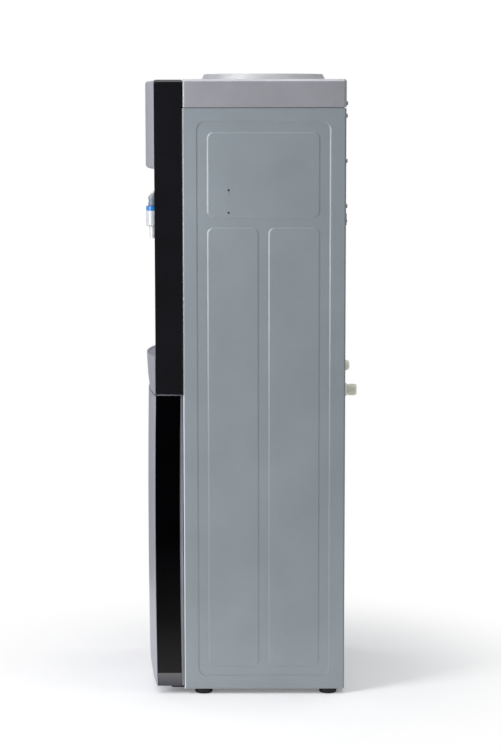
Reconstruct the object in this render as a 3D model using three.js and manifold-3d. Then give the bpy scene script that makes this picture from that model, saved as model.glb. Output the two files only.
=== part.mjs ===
// A floor-standing water cooler: bottle seat on top, two taps over a drip tray, storage behind a door.
// Millimetres, +Z up, the front faces -Y. The origin is under the middle of the whole object, at floor level.

import * as THREE from "three";
import { mergeVertices } from "three/addons/utils/BufferGeometryUtils.js";
import Module from "manifold-3d";

const wasm = await Module();
wasm.setup();

// Overall sizes
const width = 310;
const cabinetDepth = 264; // steel body, front flange to back edge
const moduleDepth = 45; // black cheeks and door ahead of the steel body
const trayBow = 21; // drip tray rim ahead of the cheeks
const drainReach = 24.3; // drain cap's tip behind the steel body
const footHeight = 8.6;
const panLip = 18; // folded sides of the base pan
const cabinetLift = 4; // storage cabinet's box above the pan's front rail
const cabinetHeight = 430; // the box, outside
const doorHead = 39.1; // door's top above the box
const doorGap = 3.1; // between the door and the tray housing
const coverHeight = 45.5;
const collarRise = 9.8; // bottle collar above the cover
const doorBottom = 12.8; // above the floor
const nicheHeight = 311; // tap niche, drip tray rim to fascia
const trayHousingHeight = 55;
const fasciaHeight = 141.9;
const coverStep = 2.2; // cheeks and fascia below the cover's top
const coverSeam = 0.5; // cover above the side panels

// Walls, fits and cuts
const sheetWall = 1; // steel sheet
const panWall = 1.2;
const shellWall = 2.5; // moulded covers
const linerWall = 2; // vacuum-formed and thin moulded parts
const seatGap = 0.3; // between pieces that rest on or fit into each other
const runGap = 0.35; // round pieces that turn or slide in one another
const overrun = 3; // how far a cut runs past what it cuts
const weldDistance = 0.0005;

// Places worked out from the sizes above
const halfWidth = width / 2;
const overallDepth = trayBow + moduleDepth + cabinetDepth + drainReach;
const cabinetFront = trayBow + moduleDepth - overallDepth / 2;
const cabinetRear = cabinetFront + cabinetDepth;
const cabinetMiddle = (cabinetFront + cabinetRear) / 2;
const moduleFront = cabinetFront - moduleDepth;

// Heights, one on top of the other from the floor up
const linerFoot = footHeight + panLip + seatGap + cabinetLift;
const linerHead = linerFoot + cabinetHeight;
const doorTop = linerHead + doorHead;
const doorHeight = doorTop - doorBottom;
const housingBottom = doorTop + doorGap;
const trayRim = housingBottom + trayHousingHeight;
const fasciaBottom = trayRim + nicheHeight;
const moduleTop = fasciaBottom + fasciaHeight;
const coverTop = moduleTop + coverStep;
const coverBottom = coverTop - coverHeight;
const panelTop = coverBottom - coverSeam;

// Facets round a curve
const roundFacets = 14;
const smallFacets = 10;
const wideFacets = 24;
const bowFacets = 12;
const cornerFacets = 2;

// Solids from three.js geometry

function solid(geometry) {
  const loose = geometry.index ? geometry.toNonIndexed() : geometry;
  const bare = new THREE.BufferGeometry();
  bare.setAttribute("position", loose.getAttribute("position").clone());
  const merged = mergeVertices(bare, weldDistance);
  const points = merged.attributes.position.array;
  const kept = [];
  for (let i = 0; i < merged.index.count; i += 3) {
    const [a, b, c] = merged.index.array.slice(i, i + 3);
    if (a !== b && b !== c && c !== a) {
      kept.push(a, b, c); // a facet that shrinks to a line at a pole is dropped
    }
  }
  const corners = new Uint32Array(kept);
  const corner = (i) => new THREE.Vector3().fromArray(points, corners[i] * 3);
  let volume = 0;
  for (let i = 0; i < corners.length; i += 3) {
    volume += corner(i).dot(corner(i + 1).cross(corner(i + 2)));
  }
  if (volume < 0) {
    corners.reverse(); // the outline ran the other way round
  }
  return new wasm.Manifold(new wasm.Mesh({ numProp: 3, vertProperties: points, triVerts: corners }));
}

function geometryOf(made) {
  const mesh = made.getMesh();
  const geometry = new THREE.BufferGeometry();
  geometry.setAttribute("position", new THREE.BufferAttribute(mesh.vertProperties, mesh.numProp));
  geometry.setIndex(new THREE.BufferAttribute(mesh.triVerts, 1));
  geometry.computeVertexNormals();
  return geometry;
}

const joined = (...parts) => parts.reduce((a, b) => a.add(b));
const cutBy = (body, ...tools) => tools.reduce((a, b) => a.subtract(b), body);

function moved(made, x, y, z) {
  return solid(geometryOf(made).translate(x, y, z));
}

function mirrored(made) {
  return solid(geometryOf(made).scale(-1, 1, 1));
}

// A box from its low corner to its high corner.
function block(low, high) {
  const size = high.map((value, i) => value - low[i]);
  const middle = high.map((value, i) => (value + low[i]) / 2);
  return solid(new THREE.BoxGeometry(...size).translate(...middle));
}

// A box as wide to the left as to the right.
const centred = (half, lowY, highY, lowZ, highZ) => block([-half, lowY, lowZ], [half, highY, highZ]);

// An outline in plan, (x, y), raised from one level to another. A round takes both faces' edges off.
function raised(shape, lowZ, highZ, round = 0, curveSegments = cornerFacets) {
  const bevel = { bevelThickness: round, bevelSize: round, bevelOffset: -round, bevelSegments: cornerFacets };
  const options = { depth: highZ - lowZ - 2 * round, bevelEnabled: round > 0, curveSegments, ...bevel };
  return solid(new THREE.ExtrudeGeometry(shape, options).translate(0, 0, lowZ + round));
}

// An outline seen from the side, (y, z), drawn out along X.
function sideways(shape, lowX, highX, round = 0, curveSegments = cornerFacets) {
  const turn = new THREE.Matrix4().makeBasis(
    new THREE.Vector3(0, 1, 0),
    new THREE.Vector3(0, 0, 1),
    new THREE.Vector3(1, 0, 0),
  );
  return solid(geometryOf(raised(shape, lowX, highX, round, curveSegments)).applyMatrix4(turn));
}

// An outline seen from the front, (x, z), drawn out along Y.
function backwards(shape, lowY, highY, round = 0, curveSegments = cornerFacets) {
  const turned = geometryOf(raised(shape, -highY, -lowY, round, curveSegments)).rotateX(Math.PI / 2);
  return solid(turned);
}

// A profile of (radius, height) turned about the vertical axis. One that keeps off the axis closes on itself.
function turned(profile, facets = roundFacets) {
  const closed = profile[0][0] > 0 ? [...profile, profile[0]] : profile;
  const points = closed.map(([radius, height]) => new THREE.Vector2(radius, height));
  return solid(new THREE.LatheGeometry(points, facets).rotateX(Math.PI / 2));
}

// The same, about an axis that runs back along +Y.
function turnedBack(profile, facets = roundFacets) {
  return solid(geometryOf(turned(profile, facets)).rotateX(-Math.PI / 2));
}

const rod = (radius, low, high, facets = roundFacets) =>
  turned([[0, low], [radius, low], [radius, high], [0, high]], facets);

const rodBack = (radius, lowY, highY, facets = roundFacets) =>
  turnedBack([[0, lowY], [radius, lowY], [radius, highY], [0, highY]], facets);

function rectangle(lowU, highU, lowV, highV, radius = 0) {
  const shape = new THREE.Shape();
  if (radius === 0) {
    shape.moveTo(lowU, lowV).lineTo(highU, lowV).lineTo(highU, highV).lineTo(lowU, highV);
    return shape;
  }
  shape.absarc(highU - radius, lowV + radius, radius, -Math.PI / 2, 0);
  shape.absarc(highU - radius, highV - radius, radius, 0, Math.PI / 2);
  shape.absarc(lowU + radius, highV - radius, radius, Math.PI / 2, Math.PI);
  shape.absarc(lowU + radius, lowV + radius, radius, Math.PI, Math.PI * 1.5);
  return shape;
}

// A narrow slot with its corners cut off.
function slotShape(lowU, highU, lowV, highV) {
  const cut = Math.min(highU - lowU, highV - lowV) / 3;
  return outline([
    [lowU + cut, lowV],
    [highU - cut, lowV],
    [highU, lowV + cut],
    [highU, highV - cut],
    [highU - cut, highV],
    [lowU + cut, highV],
    [lowU, highV - cut],
    [lowU, lowV + cut],
  ]);
}

function outline(points) {
  return new THREE.Shape(points.map(([u, v]) => new THREE.Vector2(u, v)));
}

// How far an arc over a chord of 2 * half stands ahead of the chord at x.
function bowAt(x, half, bow) {
  const radius = (half * half + bow * bow) / (2 * bow);
  return Math.sqrt(radius * radius - x * x) - (radius - bow);
}

// Points of a front that bows forward of the line y = edge, from left to right.
function bowLine(half, bow, edge, facets = bowFacets) {
  return Array.from({ length: facets + 1 }, (_, i) => {
    const x = half * ((2 * i) / facets - 1);
    return [x, edge - (i === 0 || i === facets ? 0 : bowAt(x, half, bow))];
  });
}

// A closed solid through a stack of outlines with equally many points, each anticlockwise seen from above.
function lofted(rings) {
  const count = rings[0].length;
  const top = (rings.length - 1) * count;
  const positions = rings.flat(2);
  const index = [];
  for (let start = 0; start < top; start += count) {
    for (let i = 0; i < count; i++) {
      const a = start + i;
      const b = start + ((i + 1) % count);
      index.push(a, b, a + count, b, b + count, a + count);
    }
  }
  const flat = (ring) => ring.map(([x, y]) => new THREE.Vector2(x, y));
  for (const [a, b, c] of THREE.ShapeUtils.triangulateShape(flat(rings[0]), [])) {
    index.push(a, c, b);
  }
  for (const [a, b, c] of THREE.ShapeUtils.triangulateShape(flat(rings.at(-1)), [])) {
    index.push(a + top, b + top, c + top);
  }
  const geometry = new THREE.BufferGeometry();
  geometry.setAttribute("position", new THREE.Float32BufferAttribute(positions, 3));
  return solid(geometry.setIndex(index));
}

// A round tube or rod along a smooth curve through points.
function piped(points, radius, steps, sides) {
  const path = new THREE.CatmullRomCurve3(points.map((p) => new THREE.Vector3(...p)), false, "catmullrom");
  const corners = Array.from({ length: sides }, (_, i) => {
    const angle = (i * 2 * Math.PI) / sides;
    return [radius * Math.cos(angle), radius * Math.sin(angle)];
  });
  return solid(new THREE.ExtrudeGeometry(outline(corners), { steps, extrudePath: path }));
}

// Finishes
function finish(color, roughness, metalness) {
  return new THREE.MeshStandardMaterial({ color, roughness, metalness });
}

const silverPlastic = finish("#a6a6b2", 0.35, 0.25);
const coverPlastic = finish("#9b9ba3", 0.4, 0.2);
const greyEnamel = finish("#8a9499", 0.45, 0.1);
const satinRing = finish("#c4c4c6", 0.3, 0.8);
const blackGloss = finish("#141318", 0.08, 0);
const blackPlastic = finish("#1c1c1f", 0.5, 0);
const greyPlastic = finish("#93969c", 0.45, 0);
const whitePlastic = finish("#eef1f3", 0.35, 0);
const clearPlastic = finish("#e3ecee", 0.15, 0);
const bluePlastic = finish("#1f78cf", 0.25, 0);
const redPlastic = finish("#c8211e", 0.25, 0);
const creamPlastic = finish("#cfcdb9", 0.5, 0);
const zincSteel = finish("#a9adb0", 0.4, 0.8);
const stainless = finish("#c3c6c8", 0.25, 0.9);
const aluminium = finish("#b4b8bb", 0.4, 0.9);
const foam = finish("#f2f2ee", 0.9, 0);
const softRubber = finish("#4a4b4e", 0.8, 0);
const siliconeTube = finish("#dfe4e2", 0.4, 0);

const cooler = new THREE.Group();

function piece(name, made, material, parent = cooler) {
  const mesh = new THREE.Mesh(geometryOf(made), material);
  mesh.name = name;
  parent.add(mesh);
  return mesh;
}

// Side panels: pressed steel with a sunk field and three raised islands, folded in at the front and the back
const panel = {
  inset: 0.8, // inside the cover's sides
  flange: 14,
  fold: 2.2, // outer radius of the folded edges
  pressing: 1.3, // depth of the sunk field
  fieldFront: 23, // field's edges from the panel's own edges
  fieldRear: 24,
  fieldFoot: 21.4,
  fieldHead: 21.2,
  fieldCorner: 14,
  islandMargin: 18, // islands inside the field
  islandGap: 17.5, // between neighbouring islands
  upperIsland: 136,
  islandCorner: 10,
  screwHole: 1.6,
  screwRow: 36.6, // between the two screw holes
  screwIn: 34, // from the upper island's front edge
  screwUp: 7, // above the upper island's foot
};
const panelFace = halfWidth - panel.inset;
const backWall = 0.9; // back panel
const backFace = cabinetRear + backWall;
const panelInside = panelFace - sheetWall;
const flangeEdge = panelFace - panel.flange;
const field = {
  front: cabinetFront + panel.fieldFront,
  rear: cabinetRear - panel.fieldRear,
  foot: footHeight + panel.fieldFoot,
  head: panelTop - panel.fieldHead,
};

function islandOutlines() {
  const front = field.front + panel.islandMargin;
  const rear = field.rear - panel.islandMargin;
  const foot = field.foot + panel.islandMargin;
  const head = field.head - panel.islandMargin;
  const split = head - panel.upperIsland;
  const middle = (front + rear) / 2;
  const halfGap = panel.islandGap / 2;
  return [
    rectangle(front, rear, split, head, panel.islandCorner),
    rectangle(front, middle - halfGap, foot, split - panel.islandGap, panel.islandCorner),
    rectangle(middle + halfGap, rear, foot, split - panel.islandGap, panel.islandCorner),
  ];
}

// A low frustum with sloping sides: its outline grows or shrinks by as much as it is deep.
function frustum(shape, lowX, highX, grows) {
  const depth = highX - lowX;
  const bevel = { bevelThickness: depth, bevelSize: depth, bevelOffset: -depth, bevelSegments: 1 };
  const options = { depth: overrun, curveSegments: cornerFacets, ...bevel };
  const long = solid(new THREE.ExtrudeGeometry(shape, options));
  const half = block(
    [cabinetFront, footHeight, grows ? -depth : overrun],
    [cabinetRear, panelTop, grows ? 0 : overrun + depth],
  );
  const sloped = solid(geometryOf(long.intersect(half)).translate(0, 0, grows ? highX : lowX - overrun));
  const turn = new THREE.Matrix4().makeBasis(
    new THREE.Vector3(0, 1, 0),
    new THREE.Vector3(0, 0, 1),
    new THREE.Vector3(1, 0, 0),
  );
  return solid(geometryOf(sloped).applyMatrix4(turn));
}

// The pressed face as a solid block behind it, its surface at the given x.
function pressedBlock(face, behind) {
  const sunk = face - panel.pressing;
  const fieldShape = rectangle(field.front, field.rear, field.foot, field.head, panel.fieldCorner);
  const slab = block([behind, cabinetFront, footHeight], [face, cabinetRear, panelTop]);
  const above = block([face, cabinetFront, footHeight], [face + overrun, cabinetRear, panelTop]);
  const pocket = joined(frustum(fieldShape, sunk, face, true), above);
  const islands = islandOutlines().map((shape) => frustum(shape, sunk, face, false));
  return joined(slab.subtract(pocket), ...islands);
}

function sidePanel() {
  const behind = panelFace - panel.pressing - sheetWall - overrun;
  const lowered = pressedBlock(panelFace - sheetWall, behind - overrun);
  const pressed = pressedBlock(panelFace, behind).subtract(lowered);
  const plan = rectangle(behind - overrun, panelFace, cabinetFront, cabinetRear, panel.fold);
  const skin = pressed.intersect(raised(plan, footHeight, panelTop));
  const flangeBlock = (lowY, highY) =>
    block([flangeEdge, lowY, footHeight], [panelFace - sheetWall / 2, highY, panelTop]);
  const folded = rectangle(flangeEdge - overrun, panelFace, cabinetFront, cabinetRear, panel.fold);
  const flanges = joined(
    flangeBlock(cabinetFront, cabinetFront + sheetWall),
    flangeBlock(cabinetRear - sheetWall, cabinetRear),
  ).intersect(raised(folded, footHeight, panelTop));
  const screwY = field.front + panel.islandMargin + panel.screwIn;
  const screwZ = field.head - panel.islandMargin - panel.upperIsland + panel.screwUp;
  const holes = [0, 1].map((i) => {
    const z = screwZ + i * panel.screwRow;
    const hole = new THREE.Shape().absarc(screwY, z, panel.screwHole, 0, Math.PI * 2);
    return sideways(hole, behind, panelFace + overrun);
  });
  return cutBy(joined(skin, flanges), ...holes);
}

const rightPanel = sidePanel();
piece("side_panel_right", rightPanel, greyEnamel);
piece("side_panel_left", mirrored(rightPanel), greyEnamel);

// Base pan: a folded steel tray between the side panels, its front lip the cabinet's lower rail
const pan = {
  ribHeight: 5,
  ribWidth: 16,
  ribShare: 0.3, // ribs off the middle, as a share of the pan's depth
};
const footPlace = { inX: 14.2, inFront: 31.5, inRear: 25.5, radius: 14.5, stem: 4, stemRise: 16, edge: 2 };
const footX = panelFace - footPlace.inX;
const footY = [cabinetFront + footPlace.inFront, cabinetRear - footPlace.inRear];
const panFloor = footHeight + panWall;
const hinge = {
  plate: 1.6,
  pin: 3,
  pinRise: 12,
  inX: 9.5, // pin from the door's side
  behind: 17, // pin ahead of the door's back
  nose: 4.5, // plate's rounded end round the pin
  leg: 22, // plate's leg, across
  legBack: 20, // leg behind the cabinet's front
  washer: 4,
};
const doorBack = cabinetFront - sheetWall;
const hingeX = halfWidth - hinge.inX;
const hingeY = doorBack - hinge.behind;
const legOuter = flangeEdge - seatGap * 2;

function basePan() {
  const half = panelInside - seatGap;
  const front = cabinetFront + sheetWall + seatGap;
  const rear = cabinetRear - sheetWall - seatGap;
  const panTop = footHeight + panLip;
  const shell = centred(half, front, rear, footHeight, panTop);
  const inside = centred(half - panWall, front + panWall, rear - panWall, panFloor, panTop + overrun);
  const rail = centred(flangeEdge - seatGap, cabinetFront, front + panWall, footHeight, panTop);
  const ribMiddles = [-1, 1].map((side) => cabinetMiddle + side * (rear - front) * pan.ribShare);
  const halfRib = pan.ribWidth / 2;
  const ribs = ribMiddles.map((y) =>
    centred(half - panWall, y - halfRib, y + halfRib, footHeight, panFloor + pan.ribHeight),
  );
  const hollowEnd = footX - footPlace.radius * 2;
  const halfHollow = halfRib - panWall;
  const ribHollows = ribMiddles.map((y) =>
    centred(hollowEnd, y - halfHollow, y + halfHollow, footHeight - overrun, footHeight + pan.ribHeight),
  );
  const stems = footPlaces().map(([x, y]) =>
    moved(rod(footPlace.stem + runGap, footHeight - overrun, panFloor + overrun, smallFacets), x, y, 0),
  );
  const slot = block(
    [legOuter - hinge.leg - seatGap, cabinetFront - overrun, panFloor],
    [legOuter + seatGap, front + panWall + overrun, panFloor + hinge.plate + seatGap * 2],
  );
  return cutBy(joined(shell.subtract(inside), rail, ...ribs), ...ribHollows, ...stems, slot);
}

function footPlaces() {
  return footY.flatMap((y) => [[-footX, y], [footX, y]]);
}

piece("base_pan", basePan(), zincSteel);

// Levelling feet: a round pad on a threaded stem through the pan
function foot() {
  const edge = footPlace.edge;
  const top = footHeight - seatGap;
  return turned([
    [0, 0],
    [footPlace.radius - edge, 0],
    [footPlace.radius - edge / 4, edge * 0.6],
    [footPlace.radius, edge * 1.5],
    [footPlace.radius, top],
    [footPlace.stem, top],
    [footPlace.stem, footHeight + footPlace.stemRise],
    [0, footHeight + footPlace.stemRise],
  ]);
}

const footNames = ["front_left", "front_right", "rear_left", "rear_right"];
footPlaces().forEach(([x, y], i) => {
  const mesh = piece(`foot_${footNames[i]}`, foot(), blackPlastic);
  mesh.position.set(x, y, 0);
});

// Top cover: a moulded lid over the steel body, open below, with a hole for the bottle seat
const cover = {
  rear: 1.3, // behind the side panels
  round: 3.5,
  hole: 91,
  ribHeight: 18,
  ribCount: 6,
};
const coverRear = cabinetRear + cover.rear;
const coverUnder = coverTop - shellWall;

function topCover() {
  const plan = rectangle(-halfWidth, halfWidth, cabinetFront, coverRear, cover.round * 1.4);
  const long = raised(plan, coverBottom - cover.round * 2, coverTop, cover.round);
  const above = centred(width, cabinetFront - overrun, coverRear + overrun, coverBottom, coverTop + overrun);
  const inside = centred(
    halfWidth - shellWall,
    cabinetFront + shellWall,
    coverRear - shellWall,
    coverBottom - overrun,
    coverUnder,
  );
  const disc = rod(cover.hole, coverUnder - overrun, coverTop + overrun, wideFacets);
  const hole = moved(disc, 0, cabinetMiddle, 0);
  const shell = long.intersect(above).subtract(inside);
  const reach = halfWidth - shellWall / 2;
  const ribs = Array.from({ length: cover.ribCount }, (_, i) => {
    const x = -reach + ((i + 1) * 2 * reach) / (cover.ribCount + 1);
    return block(
      [x - linerWall / 2, cabinetFront + shellWall / 2, coverUnder - cover.ribHeight],
      [x + linerWall / 2, coverRear - shellWall / 2, coverUnder + shellWall / 2],
    );
  });
  const around = rod(bottle.flange + linerWall * 2, coverBottom - overrun, coverUnder);
  const keep = moved(around, 0, cabinetMiddle, 0);
  return cutBy(joined(shell, ...ribs.map((rib) => rib.subtract(keep))), hole);
}

// Bottle seat: a satin ring on the cover, a funnel under it and the feed tube that opens the bottle's cap
const collar = { foot: 102.6, top: 98.5, rim: 3.2, mouth: 92.5, throat: 88, wall: 2.2 };
const bottle = {
  flange: 97,
  flangeWall: 2.2,
  bowl: 85,
  neck: 31,
  neckWall: 2.4,
  funnelDrop: 34,
  neckDrop: 34,
  tube: 8,
  tubeBore: 5,
  tubeRise: 46,
  spokeWidth: 6,
  spokeHeight: 5,
};
const collarTop = coverTop + collarRise;

function bottleCollar() {
  const base = coverTop + seatGap / 3;
  const rim = collar.rim;
  const slope = (collar.foot - collar.top) / collarRise;
  return turned(
    [
      [collar.foot - collar.wall, base],
      [collar.foot, base],
      [collar.foot - slope, base + rim / 4],
      [collar.top + slope, collarTop - rim],
      [collar.top - rim * 0.1, collarTop - rim * 0.5],
      [collar.top - rim * 0.25, collarTop - rim * 0.15],
      [collar.top - rim * 0.5, collarTop],
      [collar.mouth + rim * 0.5, collarTop],
      [collar.mouth, collarTop - rim * 0.5],
      [collar.throat, coverTop],
      [collar.throat, coverUnder],
      [collar.throat + collar.wall, coverUnder],
      [collar.throat + collar.wall, coverTop],
      [collar.mouth + collar.wall, collarTop - rim * 1.3],
      [collar.top - collar.wall, collarTop - rim * 1.3],
    ],
    wideFacets,
  );
}

function bottleReceiver() {
  const top = coverUnder - seatGap;
  const under = top - bottle.flangeWall;
  const neckTop = top - bottle.funnelDrop;
  const neckFoot = neckTop - bottle.neckDrop;
  const wall = bottle.neckWall;
  const bowl = turned(
    [
      [bottle.neck, neckFoot],
      [bottle.neck + wall, neckFoot],
      [bottle.neck + wall, neckTop - wall],
      [bottle.bowl + wall, under],
      [bottle.flange, under],
      [bottle.flange, top],
      [bottle.bowl, top],
      [bottle.bowl * 0.93, top - wall],
      [bottle.neck + wall, neckTop + wall],
      [bottle.neck, neckTop - wall],
    ],
    wideFacets,
  );
  const tubeTop = neckFoot + bottle.tubeRise;
  const tube = rod(bottle.tube, neckFoot, tubeTop, smallFacets).subtract(
    rod(bottle.tubeBore, neckFoot - overrun, tubeTop - linerWall, smallFacets),
  );
  const spokes = [0, 1].map((i) => {
    const reach = bottle.neck + wall / 2;
    const half = bottle.spokeWidth / 2;
    const across = i === 0 ? [reach, half] : [half, reach];
    return block([-across[0], -across[1], neckFoot], [across[0], across[1], neckFoot + bottle.spokeHeight]);
  });
  const bore = rod(bottle.tubeBore, neckFoot - overrun, tubeTop - linerWall, smallFacets);
  const slots = [0, 1].map((i) => {
    const across = i === 0 ? [bottle.tube * 2, bottle.tubeBore / 3] : [bottle.tubeBore / 3, bottle.tube * 2];
    const low = tubeTop - linerWall - bottle.tubeBore * 3;
    return block([-across[0], -across[1], low], [across[0], across[1], tubeTop - linerWall * 2]);
  });
  return moved(cutBy(joined(bowl, tube, ...spokes), bore, ...slots), 0, cabinetMiddle, 0);
}

piece("top_cover", topCover(), coverPlastic);
const collarMesh = piece("bottle_collar", bottleCollar(), satinRing);
collarMesh.position.set(0, cabinetMiddle, 0);
piece("bottle_receiver", bottleReceiver(), whitePlastic);

// Front module: black cheeks at the sides, a bowed silver fascia, the tap niche and the drip tray's housing
const cheek = {
  thickness: 16,
  gapFront: 4.4, // above the door, at the front
  gapRear: 1.8,
  topRound: 3.4,
  frontRound: 3.5,
};
const cheekInner = halfWidth - cheek.thickness;
const cheekRear = cabinetFront - seatGap;

function cheekPiece() {
  const round = cheek.topRound;
  const side = outline([
    [cheekRear, doorTop + cheek.gapRear],
    [cheekRear, moduleTop],
    [moduleFront + round, moduleTop],
    [moduleFront + round * 0.3, moduleTop - round * 0.3],
    [moduleFront, moduleTop - round],
    [moduleFront, doorTop + cheek.gapFront],
  ]);
  const far = cheekInner - cheek.thickness;
  const skinned = sideways(side, far, halfWidth, cheek.frontRound * 0.6);
  const keep = block(
    [cheekInner, moduleFront - overrun, doorTop],
    [halfWidth + overrun, cheekRear - cheek.frontRound * 0.6, moduleTop + overrun],
  );
  const rearEdge = sideways(
    outline([
      [cheekRear - cheek.frontRound, doorTop + cheek.gapRear + cheek.frontRound * 0.1],
      [cheekRear, doorTop + cheek.gapRear],
      [cheekRear, moduleTop - cheek.frontRound * 0.3],
      [cheekRear - cheek.frontRound, moduleTop - cheek.frontRound * 0.3],
    ]),
    cheekInner,
    halfWidth - cheek.frontRound * 0.15,
  );
  const hollow = block(
    [cheekInner + shellWall, moduleFront + shellWall * 1.6, doorTop + cheek.gapFront + shellWall],
    [halfWidth - shellWall, cheekRear + overrun, moduleTop - shellWall * 1.6],
  );
  return joined(skinned.intersect(keep), rearEdge).subtract(hollow);
}

const fascia = { wall: 3, bow: 20, inset: 0.5, round: 4.5, land: 10 }; // land: solid edge at each side
const lens = { radius: 2.4, pitch: 20, riseShare: 0.648, bar: 4, barHeight: 9, proud: 0.3, wall: 2.4 };
const lensZ = fasciaBottom + fasciaHeight * lens.riseShare;
const moduleEdge = moduleFront - seatGap; // back of the pieces that stand ahead of the cheeks
const nicheHalf = cheekInner - seatGap;

function lensPlaces() {
  return [-1, 0, 1].map((i) => i * lens.pitch);
}

function fasciaPanel() {
  const half = halfWidth - fascia.inset;
  const front = bowLine(half, fascia.bow, moduleEdge);
  const solidBow = raised(outline(front), fasciaBottom, moduleTop);
  const behind = moduleEdge + fascia.round * 2;
  const rounded = raised(
    outline([...front, [half, behind], [-half, behind]]),
    fasciaBottom,
    moduleTop,
    fascia.round,
    1,
  );
  const hollow = raised(
    outline(bowLine(half - fascia.land, fascia.bow - fascia.wall, moduleEdge)),
    fasciaBottom + fascia.wall,
    moduleTop - fascia.wall,
  );
  const opened = centred(
    half - fascia.land,
    moduleEdge - overrun / 3,
    moduleEdge + overrun,
    fasciaBottom + fascia.wall,
    moduleTop - fascia.wall,
  );
  const lidFoot = moduleTop - fascia.wall;
  const lid = centred(nicheHalf, moduleEdge - fascia.wall, cabinetFront - seatGap, lidFoot, moduleTop);
  const hole = rodBack(lens.radius + seatGap, moduleEdge - fascia.bow - overrun, moduleEdge, smallFacets);
  const holes = lensPlaces().map((x) => moved(hole, x, 0, lensZ));
  return cutBy(joined(cutBy(solidBow.intersect(rounded), hollow, opened), lid), ...holes);
}

// Light guide: a bar behind the fascia with a round lens at each lamp.
function indicatorLens() {
  const half = lens.pitch + lens.bar;
  const wallBack = moduleEdge - bowAt(half, halfWidth - fascia.inset, fascia.bow) + fascia.wall + seatGap;
  const barHalf = lens.barHeight / 2;
  const bar = centred(half, wallBack, wallBack + lens.wall, lensZ - barHalf, lensZ + barHalf);
  const lenses = lensPlaces().map((x) => {
    const front = moduleEdge - bowAt(x, halfWidth - fascia.inset, fascia.bow) - lens.proud;
    return moved(rodBack(lens.radius, front, wallBack + lens.wall / 2, smallFacets), x, 0, lensZ);
  });
  return joined(bar, ...lenses);
}

// Taps: axis of each barrel, and the wall they are screwed to
const tap = {
  spacing: 100,
  ahead: 7.5, // barrel's axis ahead of the cheeks
  barrel: 11,
  riseShare: 0.6894, // barrel's foot above the drip tray's rim, as a share of the niche's height
  barrelHeight: 25.5,
  barrelRound: 1.8,
  ringHeight: 7.6,
  ringBore: 8.3,
  well: 10, // depth of the barrel's upper bore
  bore: 4,
  arm: 7.6,
  armBore: 3.2,
  armRise: 12, // arm's axis above the barrel's foot
  flange: 14.5,
  flangeWall: 3,
  thread: 7.4,
  threadReach: 8, // behind the niche's boss
  spoutTop: 5.7,
  spoutTip: 4.2,
  spoutLength: 20.5,
  spoutBore: 2.7,
  spigot: 3,
  nutAcross: 12.5, // nut, centre to corner
  nutWall: 6,
};
const niche = { wall: 2.5, rear: 13, curve: 14, bossRadius: 17, bossFront: 5, bossRear: 3 };
const tapX = tap.spacing / 2;
const tapY = moduleFront - tap.ahead;
const barrelFoot = trayRim + nicheHeight * tap.riseShare;
const tapArmZ = barrelFoot + tap.armRise;
const nicheBackAt = (x) => cabinetFront + niche.rear - niche.curve + bowAt(x, nicheHalf, niche.curve);
const bossFace = nicheBackAt(tapX) - niche.bossFront;
const bossBack = nicheBackAt(tapX) + niche.wall + niche.bossRear;

function nicheShell() {
  const front = moduleEdge + seatGap;
  const curve = (half, shift) =>
    bowLine(half, niche.curve, 0).map(([x, y]) => [x, cabinetFront + niche.rear - niche.curve + shift - y]);
  const low = trayRim + seatGap;
  const high = fasciaBottom - seatGap;
  const innerHalf = nicheHalf - niche.wall;
  const plan = (half, edge, wall) => outline([[-half, edge], [half, edge], ...curve(half, wall).reverse()]);
  const outer = raised(plan(nicheHalf, front, niche.wall), low, high);
  const inner = raised(plan(innerHalf, front - overrun, 0), low - overrun, high - niche.wall);
  const atTaps = (made) => [-1, 1].map((side) => moved(made, side * tapX, 0, tapArmZ));
  const bosses = atTaps(rodBack(niche.bossRadius, bossFace, bossBack));
  const holes = atTaps(rodBack(tap.thread + runGap, bossFace - overrun, bossBack + overrun));
  return cutBy(joined(outer.subtract(inner), ...bosses), ...holes);
}

const tray = {
  bottomBow: 14,
  inset: 0.5,
  flatShare: 0.665, // half width of the rim's bow, as a share of the half width
  levels: 4,
  wall: 3,
  lip: 2.2,
  lipWidth: 3.4,
  depth: 24,
  margin: 3, // rim left round the tray
  sideMargin: 8,
  rearMargin: 4,
  floorWall: 2,
  ledge: 3,
  grilleWall: 2.6,
  slotWidth: 4,
  slotPitch: 10.5,
  slotCount: 17,
  slotMargin: 7,
};

const rimEdge = moduleEdge - tray.wall / 2;
const rimBow = trayBow - (moduleFront - rimEdge);

// Front of the housing in plan: one wide bow at its foot, a tighter one between two flats at its rim.
function rimLine(half, share) {
  const bow = tray.bottomBow + (rimBow - tray.bottomBow) * Math.sqrt(share);
  const bowHalf = half * (1 - (1 - tray.flatShare) * share) - tray.inset;
  return [[-half, rimEdge], ...bowLine(bowHalf, bow, rimEdge), [half, rimEdge]];
}

function trayOutline(inset) {
  const half = (halfWidth - tray.inset) * tray.flatShare - inset;
  const bow = trayBow - seatGap - tray.margin * 0.5;
  const sideHalf = nicheHalf - tray.sideMargin - inset;
  const shoulder = moduleEdge + tray.margin * 2;
  const rear = cabinetFront - tray.rearMargin - inset;
  const front = bowLine(half, bow, moduleEdge + inset);
  const leftEdge = [[-sideHalf, rear], [-sideHalf, shoulder + inset]];
  const rightEdge = [[sideHalf, shoulder + inset], [sideHalf, rear]];
  return outline([...leftEdge, ...front, ...rightEdge]);
}

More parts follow.
